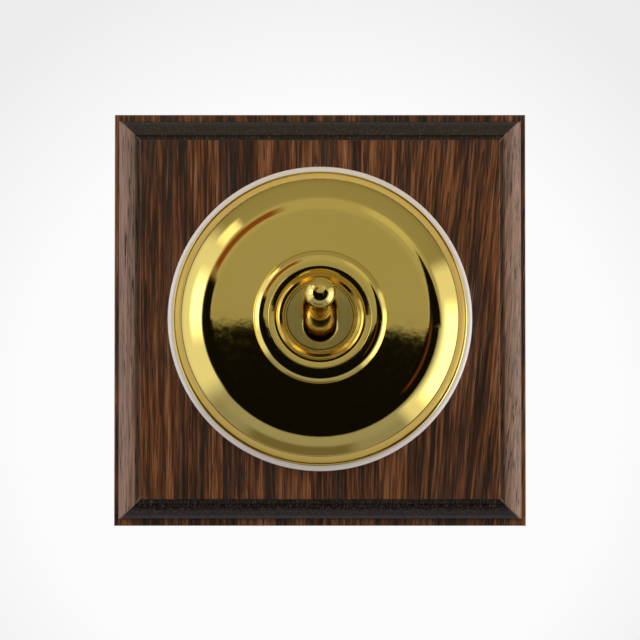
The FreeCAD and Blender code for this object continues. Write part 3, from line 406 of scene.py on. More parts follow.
def threaded(name, x):
    """A screw about the y axis. Over its thread the radius is the crest's less the depth times a
    triangle wave of height / pitch + angle, which winds the groove round it."""
    plain = eased((0, WALL_HEAD_TOP, 0), (WALL_HEAD, WALL_HEAD_TOP, 0.1),
                  (WALL_HEAD, WALL_HEAD_TOP - WALL_HEAD_EDGE, 0.08),
                  (WALL_SHANK, WALL_HEAD_TOP - WALL_HEAD_HEIGHT, 0.1), (WALL_SHANK, 0, 0))
    height = np.linspace(0, WALL_SCREW_END, int(-WALL_SCREW_END / THREAD_PITCH * THREAD_STEPS))
    angle = np.linspace(0, 2 * math.pi, THREAD_COLUMNS, endpoint=False)
    wave = np.abs(((height[:, None] / THREAD_PITCH + angle / (2 * math.pi)) % 1) * 2 - 1)
    lead = np.clip((height - WALL_SCREW_END) / THREAD_LEAD, 0, 1)[:, None]
    radius = (WALL_THREAD - THREAD_DEPTH * wave) * (THREAD_TIP + THREAD_GROWTH * lead)
    radius = np.concatenate([plain[:, :1] + 0 * angle, radius, 0 * radius[-1:]])
    height = np.concatenate([plain[:, 1], height, height[-1:]])[:, None] + 0 * angle
    return surface(name, np.stack([x + radius * np.cos(angle), -height, radius * np.sin(angle)], -1),
                   closed=False)


def slot_cutter(x, top, depth, length, width):
    """A cutter for a sawn drive slot, along x, open at the top."""
    shape = bmesh.new()
    bmesh.ops.create_cube(shape, size=1)
    mesh = bpy.data.meshes.new("cutter")
    shape.to_mesh(mesh)
    shape.free()
    box = np.zeros(len(mesh.vertices) * 3)
    mesh.vertices.foreach_get("co", box)
    corner = box.reshape(-1, 3) * (length, depth * 2, width) + (x, -top, 0)
    mesh.vertices.foreach_set("co", (corner * MM).ravel())
    return added("cutter", mesh)


def plated_steel(name, colour, rough):
    """Plain metal, cloudy in tone and gloss, with a fine tooth in its surface."""
    material, feed, place = new_finish(name, {"Metallic": 1.0})
    cloud = place.noise(900, 3)
    feed("Base Color", cloud.mix(colour, [c * 0.8 for c in colour]))
    feed("Roughness", rough + cloud * 0.16)
    feed("Normal", bumped(place.noise(5200, 2), 0.000006))
    return material


zinc = plated_steel("zinc_plate", (0.56, 0.57, 0.60), 0.24)
wall_screws = added("wall_box_screws", threaded("wall_box_screws", WALL_SCREW_X))
second_screw = added("cutter", threaded("cutter", -WALL_SCREW_X))
both = bmesh.new()
both.from_mesh(wall_screws.data)
both.from_mesh(second_screw.data)
both.to_mesh(wall_screws.data)
both.free()
bpy.data.objects.remove(second_screw)
bored(wall_screws, [slot_cutter(side * WALL_SCREW_X, WALL_HEAD_TOP, WALL_HEAD_HEIGHT / 2,
                                WALL_HEAD * 3, DRIVE_SLOT) for side in (-1, 1)])
stands_for(wall_screws, "wall_screws", zinc)

# China base: a turned and glazed ring. Its ledge carries the dome's rim, its spigot centres the
# dome, and it is hollow below. Two wood screws hold it to the oak.
CHINA_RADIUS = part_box("china_base")[1].x / MM
LEDGE_HEIGHT, CHINA_EDGE, CHINA_ARRIS, CHINA_WALL, RECESS_DEPTH = 6.5, 1.3, 0.6, 4.0, 3.0
SPIGOT_RADIUS, CHINA_OPENING, CHINA_COLUMNS = 31.08, 18.02, 256
MACHINE_SHANK, MACHINE_HEAD = 1.5, 2.7
FOOT_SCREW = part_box("mechanism_screws")[1].z / MM - MACHINE_HEAD


def white_china():
    """Glazed china: a clear glossy glaze over a warm white body, hardly uneven."""
    material, feed, place = new_finish("white_china", {
        "IOR": 1.5, "Specular Tint": (1.0, 0.90, 0.76, 1.0), "Subsurface Weight": 0.08,
        "Subsurface Scale": 0.0012})
    cloud = place.noise(70, 3)
    feed("Base Color", cloud.mix((0.90, 0.79, 0.66), (0.94, 0.84, 0.72)))
    speck = place.noise(2600, 1).between(0.74, 0.80)
    feed("Roughness", 0.10 + speck * 0.25 + cloud * 0.05)
    feed("Normal", bumped(place.noise(420, 2), 0.000010))
    return material


recess = CHINA_RADIUS - CHINA_WALL
china_base = added("glazed_china_base", turned("glazed_china_base", eased(
    (recess, 0, 0.2), (CHINA_RADIUS, 0, CHINA_ARRIS), (CHINA_RADIUS, LEDGE_HEIGHT, CHINA_EDGE),
    (SPIGOT_RADIUS, LEDGE_HEIGHT, 0.15), (SPIGOT_RADIUS, CHINA_TOP - PLINTH_DEPTH, CHINA_ARRIS),
    (CHINA_OPENING, CHINA_TOP - PLINTH_DEPTH, CHINA_ARRIS), (CHINA_OPENING, RECESS_DEPTH, 0.3),
    (recess, RECESS_DEPTH, 0.3), steps=8, closed=True), CHINA_COLUMNS, True,
                                               at=(0, -PLINTH_DEPTH, 0)))
bored(china_base, [
    screw_bore(BASE_SHANK + SCREW_FIT, side * BASE_SCREW_OUT, side * BASE_SCREW_OUT,
               PLINTH_DEPTH - CLEAR, CHINA_TOP, BASE_HEAD + SCREW_FIT, BASE_HEAD_HEIGHT)
    for side in (-1, 1)
] + [
    screw_bore(MACHINE_SHANK + SCREW_FIT, 0, side * FOOT_SCREW, PLINTH_DEPTH - CLEAR,
               CHINA_TOP + CLEAR)
    for side in (-1, 1)
])
stands_for(china_base, "china_base", white_china())

# Inner metalwork: the bent brass yoke, the screws, nuts and washer on its feet, and the wood screws
# that hold the china. All are plain brass, stamped or turned and left dull.


def plain_brass():
    """Brass as it left the press or the lathe, clouded and half dull."""
    material, feed, place = new_finish("plain_brass", {"Metallic": 1.0})
    cloud = place.noise(260, 4)
    feed("Base Color", cloud.mix((0.70, 0.49, 0.17), (0.46, 0.31, 0.12)))
    feed("Roughness", 0.26 + cloud * 0.22)
    feed("Normal", bumped(place.noise(3800, 3), 0.000010))
    return material


def dressed(nodes, finish):
    """CAD pieces that keep their own mesh and take a finish."""
    for node in nodes:
        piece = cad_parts[node]
        piece.data.materials.clear()
        piece.data.materials.append(finish)


dressed(["yoke", "mechanism_screws", "mechanism_nuts", "earth_washer", "earth_screw", "base_screws"],
        plain_brass())

# Moulded mechanism: a brown body and cover hold the terminals, and three long screws hang them under
# the yoke. A bronze rocker carries silver contacts over to one way or the other, worked by a nylon
# plunger.


def brown_moulding():
    """Half gloss phenolic moulding, brown with darker wisps from the powder."""
    material, feed, place = new_finish("brown_moulding", {"IOR": 1.56})
    wisp = place.noise(210, 5, rough=0.65, warp=1.2)
    feed("Base Color", wisp.between(0.35, 0.7).mix((0.075, 0.030, 0.014), (0.022, 0.010, 0.007)))
    feed("Roughness", 0.26 + place.noise(1700, 3) * 0.2)
    feed("Normal", bumped(place.noise(2600, 3), 0.000008))
    return material


def matt_sheet(name, light, dark):
    """Pressed fibre or nylon, mottled and nearly matt."""
    material, feed, place = new_finish(name, {"IOR": 1.5})
    fleck = place.noise(2400, 4, rough=0.7)
    feed("Base Color", fleck.between(0.35, 0.7).mix(light, dark))
    feed("Roughness", 0.5 + fleck * 0.3)
    feed("Normal", bumped(fleck, 0.000020))
    return material


bright_steel = plated_steel("spring_steel", (0.50, 0.50, 0.51), 0.18)
dressed(["switch_body", "body_cover"], brown_moulding())
dressed(["body_screws"], zinc)
dressed(["terminal_common", "terminal_way_one", "terminal_way_two", "terminal_screws"],
        bpy.data.materials["plain_brass"])
dressed(["fixed_contacts", "rocker_contacts"], plated_steel("silver_contact", (0.78, 0.77, 0.74), 0.3))
dressed(["rocker"], plated_steel("phosphor_bronze", (0.62, 0.34, 0.17), 0.28))
dressed(["plunger"], matt_sheet("black_nylon", (0.030, 0.030, 0.031), (0.012, 0.012, 0.012)))
dressed(["plunger_spring", "dolly_pin"], bright_steel)
dressed(["fibre_washer"], matt_sheet("red_fibre", (0.21, 0.035, 0.018), (0.10, 0.018, 0.010)))

# Dome: spun from brass sheet over a former, polished and lacquered, with a raised boss in the middle.
# Its rim stands on the china's ledge, and the ring nut holds it down.
BRASS_LIGHT, BRASS_DEEP = (0.86, 0.655, 0.172), (0.80, 0.590, 0.135)
EDGE_TONE = (1.0, 0.92, 0.55, 1.0)
dome_low, dome_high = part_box("brass_dome")
DOME_SEAT = -dome_high.y / MM
DOME_TOP = -dome_low.y / MM
DOME_FLARE = 0.18
DOME_RADIUS = dome_high.x / MM + DOME_FLARE
DOME_WALL, RIM_ARRIS, HOLE_ARRIS = 1.2, 0.02, 0.12
SKIRT_REACH, SKIRT_RATE, SKIRT_TOP, BEND_RADIUS = 34.0, 0.974, 31.3, 1.6
FLANK_RADIUS, FLANK_TURN, SHOULDER_RADIUS, SHOULDER_TURN, CREST_TURN = 13.62, 36.0, 7.0, 60.0, 86.0
BOSS_FOOT, BOSS_FLAT, BOSS_HEIGHT, BOSS_CROWN, DOME_HOLE = 14.9, 12.0, 1.5, 0.035, 7.65
BOSS_TURN, BOSS_LAND, ROOF_ARRIS = 88, 1.0, 0.3
SKIRT_STEPS, OUTER_STEPS, INNER_STEPS, CONE_STEPS, BOSS_STEPS, DOME_COLUMNS = 40, 24, 12, 34, 22, 320


def polished_brass():
    """Buffed brass under lacquer: a mirror with the faint unevenness of hand spinning, slightly
    deeper in tone in places, and a haze of fine marks in its gloss."""
    material, feed, place = new_finish("polished_brass", {"Metallic": 1.0, "Specular Tint": EDGE_TONE})
    cloud = place.noise(46, 3)
    feed("Base Color", cloud.mix(BRASS_LIGHT, BRASS_DEEP))
    haze = place.noise(620, 5, rough=0.62)
    feed("Roughness", 0.035 + haze.between(0.40, 0.75) * 0.05 + cloud * 0.02)
    ripple = place.noise(240, 2, rough=0.5)
    peel = place.noise(760, 2, rough=0.55)
    feed("Normal", bumped(ripple * 0.75 + peel * 0.25, 0.0000135))
    return material


def dome_section():
    """The outer skin runs up the hollow skirt, over the bend, the flank and the shoulder, up a
    shallow cone and over the boss to the hole, and the inner skin follows one wall's thickness
    inside. The skirt is a parabola, height = root^2 - rate^2 / 4 with root = (reach - radius) / rate,
    so its lean from the upright is arctan(rate / 2 root). Arcs meet tangent: the next centre is this
    centre + (this radius - next radius) * (cos turn, sin turn)."""

    def step(centre, radius, turn):
        turn = math.radians(turn)
        return centre[0] + radius * math.cos(turn), centre[1] + radius * math.sin(turn)

    radius = np.linspace(DOME_RADIUS, SKIRT_TOP, SKIRT_STEPS)
    root = (SKIRT_REACH - radius) / SKIRT_RATE
    height = root ** 2 - SKIRT_RATE ** 2 / 4
    lean = np.arctan(SKIRT_RATE / (2 * root))
    top_turn = math.degrees(lean[-1])
    bend = step((radius[-1], height[-1]), -BEND_RADIUS, top_turn)
    flank = step(bend, BEND_RADIUS - FLANK_RADIUS, FLANK_TURN)
    shoulder = step(flank, FLANK_RADIUS - SHOULDER_RADIUS, SHOULDER_TURN)

    def skin(inset, steps):
        skirt = np.stack([radius - inset * np.cos(lean), height - inset * np.sin(lean)], axis=1)
        return np.concatenate([
            skirt[skirt[:, 1] > RIM_ARRIS],
            arc(*bend, BEND_RADIUS - inset, top_turn, FLANK_TURN, steps // 2)[1:],
            arc(*flank, FLANK_RADIUS - inset, FLANK_TURN, SHOULDER_TURN, steps)[1:],
            arc(*shoulder, SHOULDER_RADIUS - inset, SHOULDER_TURN, CREST_TURN, steps)[1:]])

    outer, inner = skin(0, OUTER_STEPS), skin(DOME_WALL, INNER_STEPS)
    top = DOME_TOP - DOME_SEAT
    boss_edge = BOSS_HEIGHT - BOSS_CROWN
    boss_round = ((BOSS_FOOT - BOSS_FLAT) ** 2 + boss_edge ** 2) / (2 * boss_edge)
    foot_angle = math.degrees(math.asin((boss_round - boss_edge) / boss_round))
    roof, roof_edge = top - DOME_WALL, BOSS_FLAT + DOME_WALL / 2
    slope = math.tan(math.radians(90 - CREST_TURN))
    inner_x, inner_y = inner[-1]
    foot = (roof + roof_edge - inner_y - inner_x * slope) / (1 - slope)
    share = np.linspace(0, 1, CONE_STEPS)[1:-1, None]
    return np.concatenate([
        eased((inner[0, 0], inner[0, 1], 0), (inner[0, 0], 0, RIM_ARRIS), (DOME_RADIUS, 0, RIM_ARRIS),
              (DOME_RADIUS, outer[0, 1], 0), steps=2)[:-1],
        outer, outer[-1] + (np.array([BOSS_FOOT, top - BOSS_HEIGHT]) - outer[-1]) * share,
        arc(BOSS_FLAT, top - BOSS_CROWN - boss_round, boss_round, foot_angle, BOSS_TURN,
            BOSS_STEPS),
        eased((BOSS_FLAT - BOSS_LAND, top, 0), (DOME_HOLE, top, HOLE_ARRIS),
              (DOME_HOLE, roof, HOLE_ARRIS), (roof_edge, roof, ROOF_ARRIS),
              (foot, roof - foot + roof_edge, ROOF_ARRIS), (inner_x, inner_y, 0))[:-1],
        inner[::-1]])


brass_dome = added("spun_brass_dome", turned("spun_brass_dome", dome_section(), DOME_COLUMNS,
                                             True, at=(0, -DOME_SEAT, 0)))
stands_for(brass_dome, "brass_dome", polished_brass())

# Bush: a brass tube with the slotted face in its front. It carries the dolly's pin, its flange is
# held under the yoke, and its face is brushed up and down.
bush_low, bush_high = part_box("bush")
BUSH_FACE, BUSH_BASE = -bush_low.y / MM, -bush_high.y / MM
BUSH_RADIUS, BUSH_BORE, BUSH_FLANGE, BUSH_FLANGE_RADIUS = 7.4, 5.75, 1.4, 8.8
FACE_THICKNESS, SLOT_HALF_WIDTH, SLOT_HALF_LENGTH, SLOT_CHAMFER = 1.0, 3.675, 5.6, 0.35
FACE_RIM, LIP_LAND, LIP_RETURN, BORE_LEAD = 0.8, 0.5, 0.4, 0.3
PIN_RADIUS, PIN_COLUMNS, BUSH_COLUMNS = 1.0, 48, 240
pin_low, pin_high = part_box("dolly_pin")
PIVOT = -(pin_low.y + pin_high.y) / 2 / MM


def bush_grid():
    """Loops round the bush. On the tube a loop is a circle; at the slot it is the slot's outline
    offset outwards, x = w cos a, z = w sin a + lift, where the angle a turns only round the two
    ends and the lift carries them apart."""
    straight = SLOT_HALF_LENGTH - SLOT_HALF_WIDTH
    half_round = math.pi * SLOT_HALF_WIDTH
    marks = np.cumsum([0, straight, half_round, 2 * straight, half_round, straight])
    along = np.linspace(0, marks[-1], BUSH_COLUMNS, endpoint=False)
    angle = np.interp(along, marks, [0, 0, math.pi, math.pi, 2 * math.pi, 2 * math.pi])
    lift = np.interp(along, marks, [0, straight, straight, -straight, -straight, 0])
    ray = np.arctan2(SLOT_HALF_WIDTH * np.sin(angle) + lift, SLOT_HALF_WIDTH * np.cos(angle))

    def circles(section):
        return np.stack([section[:, :1] * np.cos(ray), -section[:, 1:] + 0 * ray,
                         section[:, :1] * np.sin(ray)], axis=-1)

    outer = eased((BUSH_BORE, BUSH_BASE, 0.1), (BUSH_FLANGE_RADIUS, BUSH_BASE, 0.15),
                  (BUSH_FLANGE_RADIUS, BUSH_BASE + BUSH_FLANGE, 0.15),
                  (BUSH_RADIUS, BUSH_BASE + BUSH_FLANGE, 0.05), (BUSH_RADIUS, BUSH_FACE, 0.12),
                  (BUSH_RADIUS - FACE_RIM, BUSH_FACE, 0))
    lip = eased((SLOT_CHAMFER + LIP_LAND, BUSH_FACE, 0), (SLOT_CHAMFER, BUSH_FACE, 0.1),
                (0, BUSH_FACE - SLOT_CHAMFER, 0.08), (0, BUSH_FACE - FACE_THICKNESS, 0.08),
                (LIP_RETURN, BUSH_FACE - FACE_THICKNESS, 0))
    width = SLOT_HALF_WIDTH + lip[:, :1]
    slot = np.stack([width * np.cos(angle), -lip[:, 1:] + 0 * angle, width * np.sin(angle) + lift],
                    axis=-1)
    bore = eased((BUSH_BORE, BUSH_FACE - FACE_THICKNESS, 0), (BUSH_BORE, BUSH_BASE + BORE_LEAD, 0))
    return np.concatenate([circles(outer), slot, circles(bore)])


def brushed_brass():
    """Brass brushed up and down with fine paper: long upright scratches in its gloss and surface."""
    material, feed, place = new_finish("brushed_brass", {"Metallic": 1.0})
    scratch = place.noise(5200, 3, stretch=(1, 0.02, 0.02), rough=0.7)
    band = place.noise(900, 2, stretch=(1, 0.05, 0.05))
    feed("Base Color", band.mix((0.78, 0.64, 0.20), (0.58, 0.46, 0.13)))
    feed("Roughness", 0.22 + scratch * 0.22)
    feed("Normal", bumped(scratch * 0.6 + band * 0.4, 0.000022))
    return material


def pin_cutter(half_length, radius):
    """A cutter along x through the pivot."""
    along = half_length * np.array([[-1], [-1], [1], [1]])
    rings = radius * np.array([[0], [1], [1], [0]])
    angle = np.linspace(0, 2 * math.pi, PIN_COLUMNS, endpoint=False)
    grid = np.stack([along + 0 * angle, -PIVOT + rings * np.cos(angle), rings * np.sin(angle)], -1)
    return added("cutter", surface("cutter", grid, closed=False))


bush = added("slotted_bush", surface("slotted_bush", bush_grid()))
bored(bush, [pin_cutter(BUSH_RADIUS + 2 * CLEAR, PIN_RADIUS)])
stands_for(bush, "bush", brushed_brass())

# Ring nut: turned brass, screwed on the bush to hold the dome. Its polished brim falls inwards in an
# arc from the lip, and the conical collar about the bush's end is painted golden brown: a painted
# reflection of brass mirrored in brass.
NUT_SPREAD = 0.25
nut_low, nut_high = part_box("ring_nut")
NUT_BASE = -nut_high.y / MM
NUT_HEIGHT = (nut_high.y - nut_low.y) / MM
NUT_RADIUS = nut_high.x / MM + NUT_SPREAD
NUT_FLANGE, NUT_LIP, NUT_EDGE, NUT_BRIGHT = 1.35, 0.2, 0.25, 1.25
BRIM_ROUND, BRIM_LIP_TURN, BRIM_FOOT_TURN = 7.2, 92, 101
COLLAR_ROUND, COLLAR_FOOT_TURN, COLLAR_TOP_TURN = 1.75, 20, 62
NUT_THREAD, NUT_RECESS, NUT_SEAT, NUT_LAND, NUT_BEVEL = 7.45, 7.9, 1.4, 0.45, 0.36
BRIM_STEPS, COLLAR_STEPS, NUT_COLUMNS = 16, 20, 320
# Fade widths, in millimetres, of the painted golden-brown reflection.
REFLECTION_FADE_BELOW, REFLECTION_FADE_ABOVE, REFLECTION_FADE_IN, REFLECTION_FADE_OUT = 0.3, 0.1, 0.02, 0.08


def nut_section():
    """Over the brim, whose arc falls ever steeper from the lip to the collar's foot, up the collar's
    cone, over its round to the crest, down the bevel inside it to a narrow land, and down the recess
    to the thread. The cone leaves its round tangent: x = foot - rise * tan(foot turn)."""
    lip = NUT_RADIUS - NUT_EDGE
    lip_turn = math.radians(BRIM_LIP_TURN)
    brim = arc(lip - BRIM_ROUND * math.cos(lip_turn), NUT_FLANGE - BRIM_ROUND * math.sin(lip_turn),
               BRIM_ROUND, BRIM_LIP_TURN, BRIM_FOOT_TURN, BRIM_STEPS)
    foot, crest = math.radians(COLLAR_FOOT_TURN), math.radians(COLLAR_TOP_TURN)
    round_y = NUT_HEIGHT - COLLAR_ROUND * math.sin(crest)
    cone_top = round_y + COLLAR_ROUND * math.sin(foot)
    cone_x = brim[-1, 0] - (cone_top - brim[-1, 1]) * math.tan(foot)
    round_x = cone_x - COLLAR_ROUND * math.cos(foot)
    crest_x, land = round_x + COLLAR_ROUND * math.cos(crest), NUT_HEIGHT - NUT_BEVEL
    return np.concatenate([
        eased((NUT_THREAD, 0.1, 0), (NUT_THREAD, 0, 0.05), (NUT_RADIUS, 0, 0.1),
              (NUT_RADIUS, NUT_FLANGE, NUT_LIP), (lip, NUT_FLANGE, 0), steps=10)[:-1],
        brim[:-1],
        eased((brim[-1, 0], brim[-1, 1], 0), (cone_x, cone_top, 0))[:-1],
        arc(round_x, round_y, COLLAR_ROUND, COLLAR_FOOT_TURN, COLLAR_TOP_TURN, COLLAR_STEPS),
        eased((crest_x, NUT_HEIGHT, 0), (NUT_RECESS + NUT_LAND, land, 0.1), (NUT_RECESS, land, 0.1),
              (NUT_RECESS, NUT_SEAT, 0.1), (NUT_THREAD, NUT_SEAT, 0.08), (NUT_THREAD, 0.3, 0),
              steps=8)[1:],
    ])


def golden_brass(name, light, deep, dull, below=None, above=None, within=None):
    """The polished brass, painted golden brown and dulled where the height above the wall is below or
    above a limit, in millimetres, and the distance from the axis within one. The golden brown is a
    painted reflection of the brass around it."""
    material, feed, place = new_finish(name, {"Metallic": 1.0})
    across, depth, up = (place.node("SeparateXYZ", {}, {"Vector": place}, axis) for axis in range(3))
    height = (0 - depth) / MM
    if below:
        painted_reflection = 1 - height.between(below - REFLECTION_FADE_BELOW, below + REFLECTION_FADE_BELOW)
    else:
        painted_reflection = height.between(above - REFLECTION_FADE_ABOVE, above + REFLECTION_FADE_ABOVE)
    if within:
        from_axis = (across * across + up * up).math("SQRT") / MM
        painted_reflection = painted_reflection * (1 - from_axis.between(within - REFLECTION_FADE_IN, within + REFLECTION_FADE_OUT))
    cloud = place.noise(420, 4, rough=0.6)
    # Painted reflection: inside the mask the colour turns golden brown, in place of brass mirrored in
    # brass.
    feed("Base Color", painted_reflection.mix(cloud.mix(BRASS_LIGHT, BRASS_DEEP), cloud.mix(light, deep)))
    feed("Roughness", 0.05 + cloud * 0.04 + painted_reflection * (0.5 + cloud) * dull)
    feed("Normal", bumped(place.noise(760, 3), 0.000012))
    return material


ring_nut = added("brass_ring_nut", turned("brass_ring_nut", nut_section(), NUT_COLUMNS, True,
                                          at=(0, -NUT_BASE, 0)))
stands_for(ring_nut, "ring_nut",
           golden_brass("nut_brass", (0.70, 0.46, 0.085), (0.56, 0.35, 0.050), 0.03,
                        above=NUT_BASE + NUT_FLANGE, within=NUT_RADIUS - NUT_BRIGHT))

# Dolly: turned from brass bar in one piece, with a ball knob, a slim neck with a collar, a ball in
# the bush and a drilled tail for the plunger. It swings on a steel pin across its ball.
DOLLY_LEAN = 18.0
BALL, COLLAR, COLLAR_LENGTH, NECK, KNOB, KNOB_REACH = 4.9, 2.35, 1.0, 1.82, 3.45, 15.5
TAIL, TAIL_LENGTH, TAIL_BORE, TAIL_BORE_DEPTH, PIN_BORE = 3.2, 10.5, 1.68, 6.5, 1.05
BALL_STEPS, DOLLY_COLUMNS = 64, 160


def dolly_section():
    """Radius and height about the pivot: up the tail's bore and out, along the tail, round the ball,
    over the collar, up the neck and round the knob to its pole."""
    tail_neck = -math.sqrt(BALL ** 2 - TAIL ** 2)
    collar_base = math.sqrt(BALL ** 2 - COLLAR ** 2)
    knob_base = KNOB_REACH - math.sqrt(KNOB ** 2 - NECK ** 2)
    tail_angle = math.degrees(math.atan2(tail_neck, TAIL))
    collar_angle = math.degrees(math.atan2(collar_base, COLLAR))
    knob_angle = math.degrees(math.atan2(knob_base - KNOB_REACH, NECK))
    return np.concatenate([
        eased((0, TAIL_BORE_DEPTH - TAIL_LENGTH, 0), (TAIL_BORE, TAIL_BORE_DEPTH - TAIL_LENGTH, 0.05),
              (TAIL_BORE, -TAIL_LENGTH, 0.1), (TAIL, -TAIL_LENGTH, 0.2), (TAIL, tail_neck, 0))[:-1],
        arc(0, 0, BALL, tail_angle, collar_angle, BALL_STEPS),
        eased((COLLAR, collar_base + 0.05, 0), (COLLAR, collar_base + COLLAR_LENGTH, 0.22),
              (NECK, collar_base + COLLAR_LENGTH, 0.04), (NECK, knob_base, 0), steps=8)[:-1],
        arc(0, KNOB_REACH, KNOB, knob_angle, 90, BALL_STEPS),
    ])


dolly = added("brass_dolly", turned("brass_dolly", dolly_section(), DOLLY_COLUMNS, False,
                                    at=(0, -PIVOT, 0), lean=-DOLLY_LEAN))
bored(dolly, [pin_cutter(BALL + CLEAR, PIN_BORE)])
knob_foot = PIVOT + (KNOB_REACH - KNOB) * math.cos(math.radians(DOLLY_LEAN))
# Below the knob the neck and ball are painted a brighter golden brown: a painted reflection of the
# slot's brass walls, and painted light where the bush's face shades them.
stands_for(dolly, "dolly",
           golden_brass("dolly_brass", (0.88, 0.56, 0.080), (0.72, 0.42, 0.050), 0.16, below=knob_foot),
           body="dolly")

# Studio: a plain pale floor well below, a nearly white background, and three soft lamps. The brass
# mirrors a dim room with a softbox on either side, painted by angle. The camera stands square to
# the switch and a little below its middle.
FLOOR_DROP, FLOOR_HALF = 0.36, 1.2
LAMPS = {"left_lamp": (-48, 22, 0.9), "right_lamp": (54, 6, 1.25), "low_lamp": (4, -62, 0.45)}
LAMP_DISTANCE, LAMP_SIDE = 0.9, 0.8


def direction(across, up):
    """The way to something at these angles, in degrees, right of the camera and above the level."""
    across, up = math.radians(across), math.radians(up)
    return np.array([math.sin(across) * math.cos(up), -math.cos(across) * math.cos(up), math.sin(up)])


def look(way):
    """The turn of a camera or lamp, level across, that faces this way."""
    pitch = math.acos(-way[2] / np.linalg.norm(way))
    return (pitch, 0, math.atan2(-way[0], way[1]))


for name, (lamp_across, lamp_up, glow) in LAMPS.items():
    lamp = bpy.data.lights.new(name, "AREA")
    lamp.size = LAMP_SIDE
    lamp.energy = glow * math.pi * LAMP_SIDE ** 2
    lamp_object = bpy.data.objects.new(name, lamp)
    bpy.context.scene.collection.objects.link(lamp_object)
    lamp_way = direction(lamp_across, lamp_up)
    lamp_object.location = lamp_way * LAMP_DISTANCE
    lamp_object.rotation_euler = look(-lamp_way)
    lamp_object.visible_glossy = False
    lamp_object.visible_camera = False

floor_mesh = bpy.data.meshes.new("pale_floor")
floor_mesh.from_pydata([(x * FLOOR_HALF, y * FLOOR_HALF, -FLOOR_DROP)
                        for x, y in ((-1, -1), (1, -1), (1, 1), (-1, 1))], [], [(0, 1, 2, 3)])
pale_floor = added("pale_floor", floor_mesh)
floor_finish, floor_feed, floor_place = new_finish("pale_paper", {"Roughness": 0.8})
floor_feed("Base Color", floor_place.noise(9, 3).mix((0.86, 0.86, 0.86), (0.89, 0.89, 0.88)))
floor_mesh.materials.append(floor_finish)
pale_floor.visible_glossy = False
pale_floor.visible_diffuse = False
pale_floor.visible_shadow = False


def window(value, low, high, soft, far_soft=None):
    """1 between two values, fading to 0 over twice the soft width about each. The fade about the
    high value may have a width of its own."""
    far_soft = far_soft or soft
    return value.between(low - soft, low + soft) * (1 - value.between(high - far_soft, high + far_soft))


def by_angle(tint, *levels):
    """Ramp stops of a tinted grey, given as pairs of an angle off the axis and a level."""
    return [(angle / 180, tuple(level * share for share in tint)) for angle, level in levels]


world = bpy.data.worlds.new("studio")
bpy.context.scene.world = world
world.use_nodes = True
tree = world.node_tree
tree.nodes.clear()
way = Shade(tree, tree.nodes.new("ShaderNodeTexCoord").outputs["Generated"])
sideways, inwards, upwards = (way.node("SeparateXYZ", {}, {"Vector": way}, axis) for axis in range(3))
degrees = math.degrees(1)
off_axis = (0 - inwards).math("ARCCOSINE") * degrees
across, up = sideways.math("ARCTAN2", 0 - inwards) * degrees, upwards.math("ARCSINE") * degrees
right_turn = upwards.math("ARCTAN2", sideways) * degrees
left_turn = upwards.math("ARCTAN2", 0 - sideways) * degrees
down_turn = sideways.math("ARCTAN2", 0 - upwards) * degrees

# The room's wall by the angle off the camera's axis, with a paler patch at the upper right. Below
# the level lies its floor, black near the axis and with a dim patch further down.
WARM_WALL, COLD_FLOOR, DARK = (1.0, 0.98, 0.90), (0.95, 1.0, 1.3), (0.005, 0.005, 0.004)
room = (off_axis / 180).ramp(*by_angle(WARM_WALL, (0, 0.41), (11, 0.41), (25, 0.475), (57, 0.475),
                                       (68, 0.345), (100, 0.33), (112, 0.28), (180, 0.28)))
room = (window(off_axis, 37, 61, 4) * window(right_turn, 37, 67, 7)).mix(room, (0.63, 0.62, 0.54))
below = 1 - (up + across * 0.05).between(0.0, 1.0)
room_floor = (off_axis / 180).ramp(*by_angle(COLD_FLOOR, (0, 0.40), (75, 0.40), (92, 0.34),
                                             (112, 0.34), (180, 0.38)))
room_floor = (window(off_axis, 84, 110, 4) * window(down_turn, -33, 15, 5)).mix(
    room_floor, (0.185, 0.175, 0.16))
room = below.mix(room, (1 - off_axis.between(57, 63)).mix(room_floor, DARK))


def patch(angles, turn, turns):
    """1 between two angles off the axis and two turns about it, each pair with its fade."""
    return window(off_axis, *angles) * window(turn, *turns)


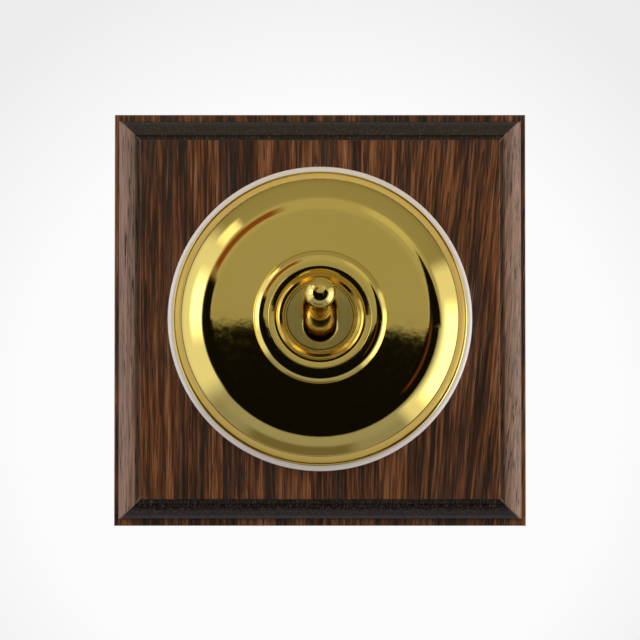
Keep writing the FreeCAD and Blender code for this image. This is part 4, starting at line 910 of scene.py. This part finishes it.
# What stands in the room, each patch painted over those before it: black and brown shapes on both
# sides, then on each side a wide glow with a softbox in it.
tent = 1 - ((across - 43).math("ABSOLUTE") + up * 0.85).between(21, 25)
PATCHES = {
    "left_dark": (patch((21, 53, 3), left_turn, (-30, 24, 3)), DARK),
    "left_wood": (patch((31, 51, 4), left_turn, (25, 70, 6)), (0.24, 0.078, 0.024)),
    "right_tent": (tent * (up + 4).between(0, 3), DARK),
    "right_wood": (patch((24, 33, 3), right_turn, (-38, 2, 5)), (0.11, 0.036, 0.011)),
    "left_glow": (patch((56, 115, 4, 15), left_turn, (-33, 40, 7)), (0.94, 1.0, 1.2)),
    "left_spot": (patch((61, 84, 4), left_turn, (38, 50, 3)), (1.5, 1.52, 1.6)),
    "left_softbox": (patch((58, 86, 5), left_turn, (-5, 20, 8)), (2.5, 2.6, 3.1)),
    "right_glow": (patch((66, 123, 4, 15), right_turn, (-48, 25, 4)), (0.96, 1.0, 1.15)),
    "right_softbox": (patch((75, 112, 6), right_turn, (-36, 6, 6)), (2.5, 2.6, 3.0)),
}
for where, colour in PATCHES.values():
    room = where.mix(room, colour)

# The background the camera sees is nearly white about its axis and greys past about eight degrees off
# it: painted shade towards the edges of the view.
BACKDROP_REACH = 10
from_camera = inwards.math("ARCCOSINE") * degrees
backdrop = (from_camera / BACKDROP_REACH).ramp(
    (0.0, (0.975, 0.975, 0.975)), (0.55, (0.965, 0.965, 0.965)), (0.85, (0.84, 0.84, 0.84)))
seen = Shade(tree, tree.nodes.new("ShaderNodeLightPath").outputs["Is Camera Ray"])
sky = seen.mix(room, backdrop)
background = sky.node("Background", {}, {"Color": sky})
tree.links.new(background.socket, tree.nodes.new("ShaderNodeOutputWorld").inputs["Surface"])

CAMERA_DISTANCE, CAMERA_DROP, CAMERA_LENS = 0.7292, 1.6, 177.5
camera_data = bpy.data.cameras.new("camera")
camera_data.lens = CAMERA_LENS
camera = bpy.data.objects.new("camera", camera_data)
bpy.context.scene.collection.objects.link(camera)
aim = np.array([0, -(PLINTH_DEPTH - CREST_DROP - OVOLO_DROP) * MM, 0])
towards_camera = direction(0, -CAMERA_DROP)
camera.location = aim + towards_camera * CAMERA_DISTANCE
camera.rotation_euler = look(-towards_camera)
bpy.context.scene.camera = camera
bpy.context.scene.view_settings.view_transform = "Standard"
